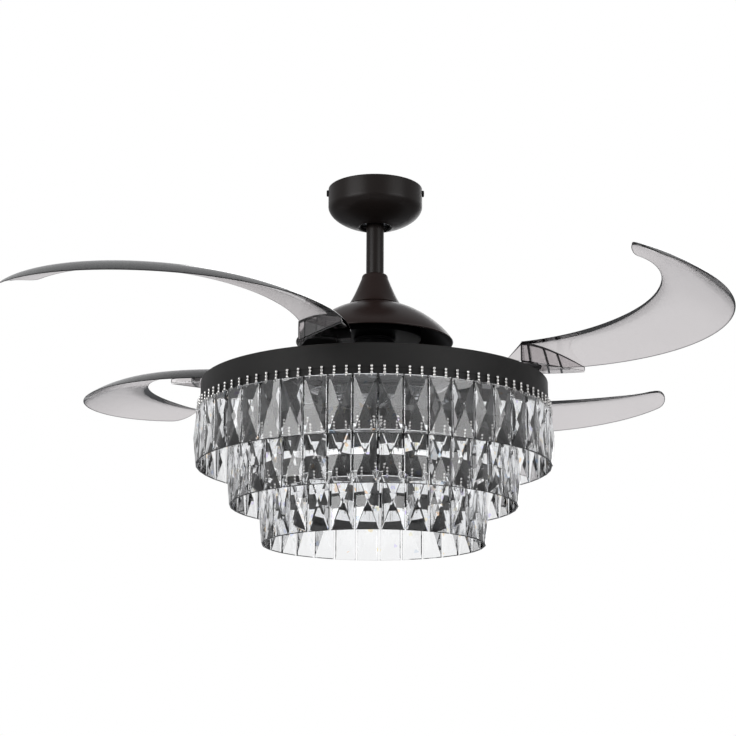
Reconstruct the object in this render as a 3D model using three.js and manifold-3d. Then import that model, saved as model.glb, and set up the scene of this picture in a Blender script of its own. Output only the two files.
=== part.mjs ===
// Ceiling fan whose four curved blades swing out when it turns and fold over its drum when it stops,
// with a crystal light in three tiers below.
// Millimetres, +Z up. The origin is the centre of the bracket's face on the ceiling, and the blades stand open.
import * as THREE from "three";
import { mergeVertices } from "three/addons/utils/BufferGeometryUtils.js";
import Module from "manifold-3d";

const wasm = await Module();
wasm.setup();

// ---------------------------------------------------------------- driving dimensions, mm and degrees
const GAP = 0.3; // clearance between two pieces that touch
const RUN = 0.8; // clearance between a turning piece and the plate beside it

const canopy = { radius: 70.8, height: 71.4, side: 37.7, wall: 1.5, mouth: 23.5 };
const bracket = { plate: 58, sheet: 2.5, legs: 30, width: 40, drop: 58, seat: 19.5, slot: 28.4 };
const mountSlot = { length: 24, width: 6, reach: 42 };
const tab = { reach: 66.5, width: 22, drop: 32 };
const canopyScrew = { shank: 2, head: 4.5, headDepth: 3, inset: 11, drop: 20 };
const receiver = { length: 56, depth: 21, height: 24, offset: 33 };
const ball = { radius: 24, top: 15, bottom: 18 };
const rod = { radius: 13.45, bore: 11.2, exposed: 68, above: 4 };
const crossPin = { radius: 3, ballRise: 8, couplerRise: 26 };
const cover = { height: 50.5, shoulder: 20.5, shoulderDrop: 7, foot: 40.6, wall: 1.6 };
const coupler = { radius: 20, height: 38, flange: 32, floor: 4, wireHole: 8 };
const dome = { flat: 36, height: 54.3, rim: 118.7, wall: 1.6, lip: 1.2 };
const shaft = { radius: 9, bore: 5, flange: 30, flangeDepth: 4, shoulder: 13, shoulderDepth: 2.5, tail: 11 };
const nut = { radius: 15, height: 7.5 };
const motor = { drop: 20, height: 30, radius: 70, chamfer: 7 };
const hub = { column: 32, bore: 15, flange: 46, flangeDepth: 4, collar: 26 };

const drum = { drop: 67.7, radius: 259.3, sheet: 2.5, height: 43.5, hem: 9, lap: 7.5 };
const deck = { lift: 9, beyondPinions: 2, sheet: 3, skirt: 2.5 };
const floor = { sheet: 2.5, hole: 18 };
const pan = { drop: 9, sheet: 2, flange: 13 };

const pivot = { bearing: -25.25, count: 4, pin: 5, pinHead: 8, headDepth: 2.2 };
const gear = { module: 2, pinionTeeth: 20, ringTeeth: 180, backlash: 0.4, face: 5, contact: 0.87, rim: 10 };
const spoke = { width: 16, boss: 34 };
const bladeHub = { barrel: 21, neck: 8.6, height: 19, chamfer: 1.5, roof: 4, armBearing: 40, armWidth: 44 };
const arm = { length: 88, tip: 15, sheet: 3 };
const bumper = { radius: 6, height: 11, reach: 30 };
const blade = {
  swing: 131.2, // from open to folded
  nest: 245.3, // radius of the outer edge, which lies round the fan's axis when folded
  outerFrom: 13,
  outerTo: 176,
  innerRadius: 206.9,
  innerOffset: 70,
  innerBearing: 99.65,
  innerFrom: 27,
  innerTo: 156.3,
  outerRise: [10.5, 15.2, 18.8, 45.7], // heights above the deck that steer each edge's curve
  innerRise: [33.7, 44.1, 68.3, 60],
  camber: 9,
  thickness: 4,
  edge: 2.4,
  tip: 0.035, // share of the length in which the tip rounds off
};
const rootBox = { sheet: 2.4, length: 0.15, ribs: 2 };

const crystal = { width: 32.6, height: 83.5, edge: 5, centre: 12, lap: 1, seat: 0.4 };
const strip = { sheet: 2, height: 24 };
const tiers = [
  { radius: drum.radius, drop: 0, count: 48, phase: 1.1 },
  { radius: 208.2, drop: 58, count: 38, phase: 1.4 },
  { radius: 159.8, drop: 114.2, count: 29, phase: 3.2 },
];
const frame = { arms: 4, bearing: 45, sheet: 2.5, width: 12, ring: 12 };
const board = { radius: 118, sheet: 2, hole: 20 };
const diffuser = { roundBoard: 8, depth: 46, wall: 2, flat: 0.25 };
const driver = { length: 92, width: 34, height: 22, circle: 163 };

// ---------------------------------------------------------------- heights, from the ceiling down
const zCanopyTop = -GAP;
const zCanopyFoot = zCanopyTop - canopy.height;
const zSeat = -bracket.drop;
const zBall = zSeat + Math.sqrt(ball.radius ** 2 - bracket.seat ** 2) + 1.5 * GAP;
const zRodTop = zBall + ball.top + rod.above;
const zCoverTop = zCanopyFoot - rod.exposed;
const zDome = zCoverTop - cover.height;
const zMotorTop = zDome - motor.drop;
const zMotorFoot = zMotorTop - motor.height;
const zDrum = zDome - dome.height - drum.drop;
const zDeck = zDrum + deck.lift;
const zGearTop = zDeck - deck.sheet - RUN;
const zGearFoot = zGearTop - gear.face;
const zFloor = zGearFoot - RUN;
const zPan = zDrum - pan.drop;
const zUnderPan = zPan - pan.sheet - GAP;
const zHem = zDrum - drum.height;

const ringRadius = (gear.module * gear.ringTeeth) / 2;
const pinionRadius = (gear.module * gear.pinionTeeth) / 2;
const pivotCircle = ringRadius + pinionRadius;
const deckRadius = pivotCircle + pinionRadius + deck.beyondPinions;
const diffuserRadius = board.radius + diffuser.roundBoard + diffuser.wall;
const ratio = gear.pinionTeeth / gear.ringTeeth;
const armHeight = GAP * 2;
const boxFloor = armHeight + arm.sheet + GAP;

// ---------------------------------------------------------------- finishes
const finish = (color, roughness, metalness, opacity = 1) =>
  new THREE.MeshStandardMaterial({ color, roughness, metalness, opacity, transparent: opacity < 1 });
const darkPaint = finish(0x231d1a, 0.5, 0.3);
const bronze = finish(0x2e201d, 0.35, 0.4);
const blackPaint = finish(0x2a2927, 0.55, 0.2);
const zinc = finish(0x9a9c9f, 0.4, 0.9);
const steel = finish(0xb4b6ba, 0.3, 1);
const blackPlastic = finish(0x17171a, 0.5, 0);
const whitePlastic = finish(0xe4e2da, 0.5, 0);
const nylon = finish(0xd9d4c4, 0.45, 0);
const rubber = finish(0x141414, 0.8, 0);
const smoke = finish(0x6d686c, 0.08, 0, 0.45);
const glass = finish(0xeef2f5, 0.02, 0, 0.4);
const clearCover = finish(0xdfe1e3, 0.2, 0, 0.4);

// ---------------------------------------------------------------- geometry helpers
const rad = THREE.MathUtils.degToRad;
const polar = (radius, degrees) => new THREE.Vector2(radius * Math.cos(rad(degrees)), radius * Math.sin(rad(degrees)));

/** A closed solid from a geometry: shared vertices merged, collapsed faces dropped, faces turned out. */
function solidOf(geometry) {
  const bare = new THREE.BufferGeometry().setAttribute("position", geometry.getAttribute("position"));
  if (geometry.index) bare.setIndex(geometry.index);
  const merged = mergeVertices(bare, 1e-4);
  const vertProperties = Float32Array.from(merged.getAttribute("position").array);
  const faces = merged.index.array;
  const triangles = [];
  for (let i = 0; i < faces.length; i += 3) {
    const [a, b, c] = faces.slice(i, i + 3);
    if (a !== b && b !== c && c !== a) triangles.push(a, b, c);
  }
  const build = (list) =>
    new wasm.Manifold(new wasm.Mesh({ numProp: 3, vertProperties, triVerts: Uint32Array.from(list) }));
  const solid = build(triangles);
  return solid.volume() > 0 ? solid : build(triangles.reverse());
}

/** A geometry from a solid. */
function geometryOf(solid) {
  const mesh = solid.getMesh();
  const positions = new Float32Array(mesh.numVert * 3);
  for (let i = 0; i < mesh.numVert; i++) {
    positions.set(mesh.vertProperties.subarray(i * mesh.numProp, i * mesh.numProp + 3), i * 3);
  }
  return new THREE.BufferGeometry()
    .setAttribute("position", new THREE.BufferAttribute(positions, 3))
    .setIndex(new THREE.BufferAttribute(Uint32Array.from(mesh.triVerts), 1));
}

const join = (...pieces) => geometryOf(wasm.Manifold.union(pieces.flat().map(solidOf)));
const cut = (body, ...tools) => geometryOf(solidOf(body).subtract(wasm.Manifold.union(tools.flat().map(solidOf))));
const common = (a, b) => geometryOf(solidOf(a).intersect(solidOf(b)));

/** A profile of [radius, height] points, closed on itself or on the axis, turned about Z with its faces out. */
function revolve(profile, segments = 48) {
  const points = profile.map(([radius, height]) => new THREE.Vector2(radius, height));
  if (THREE.ShapeUtils.area(points) < 0) points.reverse();
  if (points[0].x > 0 || points.at(-1).x > 0) points.push(points[0].clone());
  return new THREE.LatheGeometry(points, segments).rotateX(Math.PI / 2);
}

/** A straight-walled ring or, with no inner radius, a disc. */
function ring(inner, outer, foot, top, segments = 48) {
  return revolve([[inner, foot], [outer, foot], [outer, top], [inner, top]], segments);
}

/** A flat outline with its holes, raised from one height to another. */
function prism(outline, foot, top, holes = []) {
  const shape = new THREE.Shape(outline);
  shape.holes = holes.map((points) => new THREE.Path(points));
  return new THREE.ExtrudeGeometry(shape, { depth: top - foot, bevelEnabled: false }).translate(0, 0, foot);
}

/** A box between two corners. */
function block(x0, x1, y0, y1, z0, z1) {
  return new THREE.BoxGeometry(x1 - x0, y1 - y0, z1 - z0).translate((x0 + x1) / 2, (y0 + y1) / 2, (z0 + z1) / 2);
}

/** An upright cylinder. */
function post(radius, foot, top, segments = 24) {
  return new THREE.CylinderGeometry(radius, radius, top - foot, segments)
    .rotateX(Math.PI / 2)
    .translate(0, 0, (foot + top) / 2);
}

/** A cylinder along X. */
function bar(radius, from, to, segments = 10) {
  return post(radius, from, to, segments).rotateY(Math.PI / 2);
}

/** Points round an arc, both ends included. */
function arc(radius, from, to, steps) {
  return Array.from({ length: steps + 1 }, (_, i) => polar(radius, from + ((to - from) * i) / steps));
}

/** The corner radius of a polygon whose flats stand at a given radius. */
const corner = (radius, segments) => radius / Math.cos(Math.PI / segments);

/** A drill for a hole whose flats clear a given radius. */
const drill = (radius, foot, top, segments = 16) => post(corner(radius, segments), foot, top, segments);

/**
 * A sheet's closed profile: the outer line of [radius, height] points, and the same line set in by a wall.
 * The inner line keeps its first two points, its last, and every so many between.
 */
function sheetProfile(outer, wall, every = 1) {
  const last = outer.length - 1;
  const inner = outer.map(([radius, height], i) => {
    const [r0, h0] = outer[Math.max(i - 1, 0)];
    const [r1, h1] = outer[Math.min(i + 1, last)];
    const length = Math.hypot(r1 - r0, h1 - h0);
    return [radius - (wall * (h0 - h1)) / length, height - (wall * (r1 - r0)) / length];
  });
  return [...outer, ...inner.filter((_, i) => i < 2 || i % every === 0 || i === last).reverse()];
}

/** Steps along a cubic curve through four [radius, height] control points. */
function bend(points, steps) {
  const curve = new THREE.CubicBezierCurve(...points.map(([x, y]) => new THREE.Vector2(x, y)));
  return curve.getPoints(steps).map(({ x, y }) => [x, y]);
}

/** The value of a cubic curve with four control values. */
function steer([a, b, c, d], t) {
  const s = 1 - t;
  return a * s ** 3 + 3 * b * s * s * t + 3 * c * s * t * t + d * t ** 3;
}

const model = new THREE.Group();

/** Adds a named piece to a group. */
function add(name, geometry, material, parent = model) {
  const mesh = new THREE.Mesh(geometry, material);
  mesh.name = name;
  parent.add(mesh);
  return mesh;
}

// ---------------------------------------------------------------- what stays on the ceiling
/** The pressed bracket: a plate with two slots, a cradle for the ball and two tabs for the canopy's screws. */
function ceilingBracket() {
  const { plate, sheet, legs, width, seat, slot } = bracket;
  const half = width / 2;
  const base = post(plate, -sheet, 0, 28);
  const cradle = [-1, 1].map((side) =>
    block(-half, half, side * legs - sheet / 2, side * legs + sheet / 2, zSeat - sheet, -sheet / 2),
  );
  const web = block(-half, half, -legs, legs, zSeat - sheet, zSeat);
  const tabs = [-1, 1].flatMap((side) => [
    block(side * plate * 0.9 - 4, side * (tab.reach - sheet / 2), -tab.width / 2, tab.width / 2, -sheet, 0),
    block(side * (tab.reach - sheet), side * tab.reach, -tab.width / 2, tab.width / 2, -tab.drop, 0),
  ]);
  const slots = [-1, 1].map((side) =>
    prism(
      [...arc(mountSlot.width / 2, -90, 90, 4), ...arc(mountSlot.width / 2, 90, 270, 4)].map(
        ({ x, y }, i) => new THREE.Vector2(x + ((i < 5 ? 1 : -1) * (mountSlot.length - mountSlot.width)) / 2, y),
      ),
      -2 * sheet,
      sheet,
    ).translate(0, side * mountSlot.reach, 0),
  );
  const screwHoles = bar(canopyScrew.shank + GAP, -tab.reach - 1, tab.reach + 1, 8).translate(0, 0, -canopyScrew.drop);
  return cut(
    join(base, cradle, web, tabs),
    post(seat, zSeat - 2 * sheet, zSeat + sheet, 16),
    block(0, half + 1, -slot / 2, slot / 2, zSeat - 2 * sheet, zSeat + sheet),
    slots,
    screwHoles,
  );
}

/** The canopy: straight side, rounded slope below, open at the ceiling, with a mouth that lets the rod tilt. */
function canopyShell() {
  const { radius, height, side, mouth, wall } = canopy;
  const slope = bend(
    [
      [radius, zCanopyTop - side],
      [radius, zCanopyTop - side - 0.45 * (height - side)],
      [mouth + 0.56 * (radius - mouth), zCanopyTop - side - 0.7 * (height - side)],
      [mouth, zCanopyFoot],
    ],
    5,
  );
  const shell = revolve(sheetProfile([[radius, zCanopyTop], ...slope], wall, 2), 28);
  const holes = bar(canopyScrew.shank + GAP, -radius - 2, radius + 2, 8).translate(0, 0, -canopyScrew.drop);
  return cut(shell, holes);
}

/** A canopy screw along +X: its shank in the bracket's tab, its head outside the canopy. */
function canopyScrewShape() {
  const seat = canopy.radius + GAP;
  return join(
    bar(canopyScrew.shank, tab.reach - canopyScrew.inset / 2, seat + 0.5, 8),
    bar(canopyScrew.head, seat, seat + canopyScrew.headDepth, 12),
  ).translate(0, 0, -canopyScrew.drop);
}

add("ceiling_bracket", ceilingBracket(), zinc);
add("canopy", canopyShell(), darkPaint);
add("canopy_screw_right", canopyScrewShape(), blackPlastic);
add("canopy_screw_left", canopyScrewShape(), blackPlastic).rotation.z = Math.PI;
add(
  "remote_receiver",
  block(-receiver.length / 2, receiver.length / 2, 0, receiver.depth, -receiver.height, 0).translate(
    0,
    receiver.offset,
    -bracket.sheet - GAP,
  ),
  whitePlastic,
);

// ---------------------------------------------------------------- what hangs from the ball
/** The hanger ball, cut flat above and below, bored for the rod and its cross pin. */
function hangerBall() {
  const steps = 5;
  const low = Math.asin(-ball.bottom / ball.radius);
  const high = Math.asin(ball.top / ball.radius);
  const skin = Array.from({ length: steps + 1 }, (_, i) => {
    const a = low + ((high - low) * i) / steps;
    return [ball.radius * Math.cos(a), zBall + ball.radius * Math.sin(a)];
  });
  const bore = rod.radius + GAP;
  const body = revolve([[bore, zBall - ball.bottom], ...skin, [bore, zBall + ball.top]], 16);
  const pinHole = bar(crossPin.radius + GAP, -ball.radius, ball.radius).translate(0, 0, zBall + crossPin.ballRise);
  return cut(body, pinHole);
}

/** The down rod, a tube with a cross hole near each end. */
function downRod() {
  const foot = zDome + GAP + coupler.floor + GAP;
  const holes = [zBall + crossPin.ballRise, zDome + crossPin.couplerRise].map((z) =>
    bar(crossPin.radius + GAP, -rod.radius - 1, rod.radius + 1).translate(0, 0, z),
  );
  return cut(ring(rod.bore, rod.radius, foot, zRodTop, 16), holes);
}

/** The flared cover over the coupler. */
function couplingCover() {
  const { shoulder, shoulderDrop, foot, wall } = cover;
  const neck = corner(rod.radius + GAP, 20);
  const zFoot = zDome + GAP;
  const crown = bend(
    [
      [shoulder - 4, zCoverTop],
      [shoulder - 1, zCoverTop],
      [shoulder - 0.6, zCoverTop - shoulderDrop / 2],
      [shoulder, zCoverTop - shoulderDrop],
    ],
    2,
  );
  const flare = bend(
    [
      [shoulder, zCoverTop - shoulderDrop],
      [shoulder + 4.5, zCoverTop - cover.height * 0.4],
      [shoulder + 10.5, zCoverTop - cover.height * 0.75],
      [foot, zFoot],
    ],
    5,
  ).slice(1);
  return revolve(sheetProfile([[neck, zCoverTop], ...crown, ...flare], wall, 2), 20);
}

/** The coupler: a flanged cup that takes the rod's end, pinned across. */
function couplerShape() {
  const { radius, height, flange, floor: thick, wireHole } = coupler;
  const foot = zDome + GAP;
  const bore = rod.radius + GAP;
  const body = revolve(
    [
      [wireHole, foot],
      [flange, foot],
      [flange, foot + thick],
      [radius, foot + thick],
      [radius, foot + height],
      [bore, foot + height],
      [bore, foot + thick],
      [wireHole, foot + thick],
    ],
    16,
  );
  return cut(body, bar(crossPin.radius + GAP, -radius - 1, radius + 1).translate(0, 0, zDome + crossPin.couplerRise));
}

/** The dome over the motor, open below. */
function domeShell() {
  const { flat, height, rim, wall, lip } = dome;
  const outer = bend(
    [
      [flat, zDome],
      [flat + 0.41 * (rim - flat), zDome - 0.13 * height],
      [flat + 0.87 * (rim - flat), zDome - 0.66 * height],
      [rim, zDome - height],
    ],
    6,
  );
  return revolve(sheetProfile([[coupler.wireHole, zDome], ...outer, [rim - lip, zDome - height - lip]], wall, 3), 32);
}

/** The fixed hollow shaft, flanged under the dome, with a shoulder under the motor and one on the pan. */
function fixedShaft() {
  const top = zDome - dome.wall - GAP;
  const foot = zPan - pan.sheet - shaft.tail;
  const { radius, bore, flange, flangeDepth, shoulder, shoulderDepth } = shaft;
  const step = (seat) => [
    [radius, seat - shoulderDepth],
    [shoulder, seat - shoulderDepth],
    [shoulder, seat],
    [radius, seat],
  ];
  return revolve(
    [
      [bore, foot],
      [radius, foot],
      ...step(zPan + GAP + shoulderDepth),
      ...step(zMotorFoot - GAP),
      [radius, top - flangeDepth],
      [flange, top - flangeDepth],
      [flange, top],
      [bore, top],
    ],
    14,
  );
}

add("hanger_ball", hangerBall(), blackPlastic);
const ballPinReach = Math.sqrt(ball.radius ** 2 - crossPin.ballRise ** 2) - 2;
add(
  "ball_cross_pin",
  bar(crossPin.radius, -ballPinReach, ballPinReach).translate(0, 0, zBall + crossPin.ballRise),
  steel,
);
add("down_rod", downRod(), darkPaint);
add("coupling_cover", couplingCover(), bronze);
add("coupler", couplerShape(), zinc);
add(
  "coupler_pin",
  bar(crossPin.radius, -coupler.radius - 1, coupler.radius + 1).translate(0, 0, zDome + crossPin.couplerRise),
  steel,
);
add("motor_dome", domeShell(), bronze);
add("fixed_shaft", fixedShaft(), steel);
// ---------------------------------------------------------------- what the motor turns
/** The motor's turning casing, chamfered above and bored for the shaft. */
function motorCasing() {
  const { radius, chamfer } = motor;
  const bore = shaft.radius + GAP;
  return revolve(
    [
      [bore, zMotorFoot],
      [radius, zMotorFoot],
      [radius, zMotorTop - chamfer],
      [radius - chamfer, zMotorTop],
      [bore, zMotorTop],
    ],
    28,
  );
}

/** The column from the motor down to the deck, with the collar that the ring gear turns on. */
function rotorHub() {
  const { column, bore, flange, flangeDepth, collar } = hub;
  const seat = zDeck + GAP;
  return revolve(
    [
      [bore, zFloor + GAP],
      [collar, zFloor + GAP],
      [collar, seat],
      [flange, seat],
      [flange, seat + flangeDepth],
      [column, seat + flangeDepth],
      [column, zMotorFoot - GAP],
      [bore, zMotorFoot - GAP],
    ],
    18,
  );
}

/** A copy of a geometry at each blade's bearing, moved out by a radius and on by an angle. */
function atPivots(geometry, radius, turn = 0) {
  return Array.from({ length: pivot.count }, (_, i) =>
    geometry
      .clone()
      .translate(radius, 0, 0)
      .rotateZ(rad(pivot.bearing + turn + (360 * i) / pivot.count)),
  );
}

/** The deck: a skirted plate with a hole for each blade's neck. */
function deckShape() {
  const { sheet, skirt } = deck;
  const radius = deckRadius;
  const skirtFoot = zFloor - floor.sheet;
  const plate = revolve(
    [
      [hub.collar + GAP, zDeck - sheet],
      [radius - skirt, zDeck - sheet],
      [radius - skirt, skirtFoot],
      [radius, skirtFoot],
      [radius, zDeck],
      [hub.collar + GAP, zDeck],
    ],
    32,
  );
  return cut(plate, atPivots(drill(bladeHub.neck + GAP, zDeck - 2 * sheet, zDeck + sheet, 12), pivotCircle));
}

/** The floor under the gears, with a hole for each pivot pin. */
function floorShape() {
  const plate = ring(floor.hole, deckRadius - deck.skirt - GAP, zFloor - floor.sheet, zFloor, 32);
  return cut(plate, atPivots(drill(pivot.pin + GAP, zFloor - 2 * floor.sheet, zFloor + 1, 10), pivotCircle));
}

/**
 * A gear's outline with teeth only where they mesh. Tooth 0 is centred on `facing`, and teeth `first` to `last` are cut;
 * the flanks are involutes of a 20 degree gear, thinned by the backlash, and the rest is an arc at the root.
 */
function gearOutline(teeth, facing, first, last, flankRadii) {
  const pitch = (gear.module * teeth) / 2;
  const base = pitch * Math.cos(rad(20));
  const involute = (angle) => Math.tan(angle) - angle;
  const halfAngle = (radius) => {
    const pressure = Math.acos(Math.min(base / Math.max(radius, base), 1));
    const half = (Math.PI * gear.module) / 4 - gear.backlash;
    return THREE.MathUtils.radToDeg(half / pitch + involute(rad(20)) - involute(pressure));
  };
  const step = 360 / teeth;
  const outline = [];
  for (let i = first; i <= last; i++) {
    const centre = facing + i * step;
    flankRadii.forEach((radius) => outline.push(polar(radius, centre - halfAngle(radius))));
    [...flankRadii].reverse().forEach((radius) => outline.push(polar(radius, centre + halfAngle(radius))));
  }
  const from = facing + (last + 0.5) * step;
  const sweep = 360 - (last - first + 1) * step;
  return { outline, rest: arc(flankRadii[0], from, from + sweep, 8) };
}

/** How many teeth of a gear pass the mesh while a blade folds. */
const passed = (blade.swing / 360) * gear.pinionTeeth;

/** The pinion that turns with a blade: a gap faces the axis when it's open, and only the teeth that mesh are cut. */
function pinionShape() {
  const pitch = (gear.module * gear.pinionTeeth) / 2;
  const radii = [pitch - 1.25 * gear.module, pitch, pitch + gear.module];
  const half = 180 / gear.pinionTeeth;
  const first = -Math.ceil(gear.contact - 0.5);
  const last = Math.ceil(passed + gear.contact - 0.5) - 1;
  const { outline, rest } = gearOutline(gear.pinionTeeth, 180 + half, first, last, radii);
  const bore = arc(corner(bladeHub.neck + GAP, 12), 0, 330, 11);
  return prism([...outline, ...rest], zGearFoot, zGearTop, [bore]);
}

/** The ring gear that keeps the blades together: a toothed stretch for each pinion, spokes and a boss. */
function ringGear() {
  const root = ringRadius - 1.25 * gear.module;
  const radii = [root, ringRadius + gear.module];
  const step = 360 / gear.ringTeeth;
  const first = -Math.floor(passed + gear.contact);
  const last = Math.floor(gear.contact);
  const plain = 360 / pivot.count - (last - first + 1) * step;
  const outline = [];
  for (let i = 0; i < pivot.count; i++) {
    const facing = pivot.bearing + (360 * i) / pivot.count;
    const from = facing + (last + 0.5) * step;
    outline.push(...gearOutline(gear.ringTeeth, facing, first, last, radii).outline);
    outline.push(...arc(root, from, from + plain, 6));
  }
  const inner = root - gear.rim;
  const rim = prism(outline, zGearFoot, zGearTop, [arc(inner, 0, 346.15, 25)]);
  const halfTurn = (blade.swing * ratio) / 2;
  const spokes = atPivots(
    block(spoke.boss - 4, inner + gear.rim / 2, -spoke.width / 2, spoke.width / 2, zGearFoot, zGearTop),
    0,
    180 / pivot.count - halfTurn,
  );
  const boss = post(spoke.boss, zGearFoot, zGearTop, 20);
  return cut(join(rim, spokes, boss), drill(hub.collar + GAP, zGearFoot - 1, zGearTop + 1, 20));
}

add("motor_casing", motorCasing(), blackPaint);
add("rotor_hub", rotorHub(), blackPaint);
add("blade_deck", deckShape(), blackPlastic);
add("gear_floor", floorShape(), blackPlastic);
add("ring_gear", ringGear(), nylon);

// ---------------------------------------------------------------- the blades, about their own pivots
// In a station's frame the pivot is the origin, the fan's axis lies at -X, and 0 is the deck's upper face.
const foldTurn = rad(blade.swing);

/** A blade edge in plan, from the root (0) to the tip (1), with the blade open. */
function edge(side, u) {
  const outer = side === "outer";
  const radius = outer ? blade.nest : blade.innerRadius;
  const from = outer ? blade.outerFrom : blade.innerFrom;
  const to = outer ? blade.outerTo : blade.innerTo;
  const centre = outer ? new THREE.Vector2() : polar(blade.innerOffset, blade.innerBearing);
  return polar(radius, -(from + (to - from) * u))
    .add(centre)
    .sub(new THREE.Vector2(pivotCircle, 0))
    .rotateAround(new THREE.Vector2(), foldTurn);
}

/** A point midway through the blade's thickness: u from root to tip, v from outer to inner edge. */
function bladePoint(u, v) {
  const outer = edge("outer", u);
  const inner = edge("inner", u);
  const rise = steer(blade.outerRise, u) * (1 - v) + steer(blade.innerRise, u) * v;
  const plan = outer.lerp(inner, v);
  return new THREE.Vector3(plan.x, plan.y, rise + blade.camber * 4 * v * (1 - v));
}

/** A closed solid between two height functions over a grid of plan points. */
function gridSolid(columns, rows, upper, lower) {
  const positions = [];
  const index = [];
  const at = (i, j, layer) => (layer * columns.length + i) * rows.length + j;
  [upper, lower].forEach((surface) =>
    columns.forEach((u) => rows.forEach((v) => positions.push(...surface(u, v).toArray()))),
  );
  const face = (a, b, c, d) => index.push(a, b, c, a, c, d);
  const lastColumn = columns.length - 1;
  const lastRow = rows.length - 1;
  for (let i = 0; i < lastColumn; i++) {
    for (let j = 0; j < lastRow; j++) {
      face(at(i, j, 0), at(i + 1, j, 0), at(i + 1, j + 1, 0), at(i, j + 1, 0));
      face(at(i, j, 1), at(i, j + 1, 1), at(i + 1, j + 1, 1), at(i + 1, j, 1));
    }
    face(at(i, 0, 0), at(i, 0, 1), at(i + 1, 0, 1), at(i + 1, 0, 0));
    face(at(i, lastRow, 0), at(i + 1, lastRow, 0), at(i + 1, lastRow, 1), at(i, lastRow, 1));
  }
  for (let j = 0; j < lastRow; j++) {
    face(at(0, j, 0), at(0, j + 1, 0), at(0, j + 1, 1), at(0, j, 1));
    face(at(lastColumn, j, 0), at(lastColumn, j, 1), at(lastColumn, j + 1, 1), at(lastColumn, j + 1, 0));
  }
  return new THREE.BufferGeometry()
    .setAttribute("position", new THREE.Float32BufferAttribute(positions, 3))
    .setIndex(index);
}

/** The stations along the blade: even ones, then closer ones where the tip rounds off. */
function bladeStations() {
  const even = 12;
  const round = 3;
  const start = 1 - blade.tip;
  const body = Array.from({ length: even }, (_, i) => (start * i) / (even - 1));
  const tip = Array.from({ length: round }, (_, i) => start + blade.tip * Math.sin(((i + 1) / round) * (Math.PI / 2)));
  return [...body, ...tip];
}

/** The blade's cambered skin, thinner at its edges, with a rounded tip. */
function bladeSkin(rows) {
  const offset = (side) => (u, v) => {
    const past = Math.max((u - (1 - blade.tip)) / blade.tip, 0);
    const width = Math.sqrt(Math.max(1 - past * past, 0.01));
    const across = 0.5 + (v - 0.5) * width;
    const half = (blade.edge + (blade.thickness - blade.edge) * 4 * v * (1 - v)) / 2;
    const point = bladePoint(u, across);
    point.z += side * half;
    return point;
  };
  return gridSolid(bladeStations(), rows, offset(1), offset(-1));
}

/** The hollow box under the blade's root: a floor, a slanting wall, an end wall and ribs, all up to the skin. */
function bladeRoot(rows) {
  const { sheet, length, ribs } = rootBox;
  const reach = bladeStations().filter((u) => u < length + 0.08);
  const under = gridSolid(reach, rows, bladePoint, (u, v) => bladePoint(u, v).setZ(boxFloor));
  const steps = 3;
  const outer = Array.from({ length: steps + 1 }, (_, i) => edge("outer", (length * i) / steps));
  const inner = edge("inner", 0);
  const corner = outer[0];
  const end = outer[steps];
  const plate = prism([inner, corner, ...outer.slice(1)], boxFloor, boxFloor + sheet);
  const tall = boxFloor + Math.max(...blade.innerRise) + blade.camber;
  const wallBetween = (from, to) => {
    const along = to.clone().sub(from);
    const wall = block(0, along.length(), -sheet / 2, sheet / 2, boxFloor, tall);
    return wall.rotateZ(along.angle()).translate(from.x, from.y, 0);
  };
  const slant = wallBetween(inner, end);
  const close = wallBetween(inner, corner);
  const cross = Array.from({ length: ribs }, (_, i) => {
    const share = (i + 1) / (ribs + 1);
    return wallBetween(inner.clone().lerp(end, share), edge("outer", length * share));
  });
  return [plate, common(join(slant, close, cross), under)];
}

/** One blade: skin and root box, screwed down on the arm of its hub. */
function bladeShape() {
  const rows = [0, 0.3, 0.7, 1];
  const body = join(bladeSkin(rows), bladeRoot(rows));
  return cut(body, drill(bladeHub.barrel + GAP, -1, bladeHub.height + armHeight + GAP, 16));
}

/** The hub that a blade is screwed to: barrel, roof, neck through the deck, and arm under the blade's root. */
function bladeHubShape() {
  const { barrel, neck, height, chamfer, roof, armBearing, armWidth } = bladeHub;
  const top = armHeight + height;
  const neckFoot = zGearFoot - zDeck;
  const body = revolve(
    [
      [0, top],
      [0, top - roof],
      [pivot.pin + GAP, top - roof],
      [pivot.pin + GAP, neckFoot],
      [neck, neckFoot],
      [neck, armHeight],
      [barrel, armHeight],
      [barrel, top - chamfer],
      [barrel - chamfer, top],
    ],
    16,
  );
  const half = armWidth / 2;
  const outline = [
    new THREE.Vector2(0, -half),
    new THREE.Vector2(arm.length - arm.tip, -half),
    new THREE.Vector2(arm.length, -half + arm.tip),
    new THREE.Vector2(arm.length, half - arm.tip),
    new THREE.Vector2(arm.length - arm.tip, half),
    new THREE.Vector2(0, half),
  ];
  const plate = prism(outline, armHeight, armHeight + arm.sheet).rotateZ(rad(armBearing));
  return join(body, cut(plate, post(barrel / 2, 0, 2 * arm.sheet + 1, 12)));
}

/** The pin that a blade's hub turns on, headed under the gear floor. */
function pivotPin() {
  const foot = zFloor - floor.sheet - GAP - zDeck;
  const top = armHeight + bladeHub.height - bladeHub.roof - GAP;
  return join(post(pivot.pin, foot - 0.5, top, 10), post(pivot.pinHead, foot - pivot.headDepth, foot, 12));
}

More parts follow.
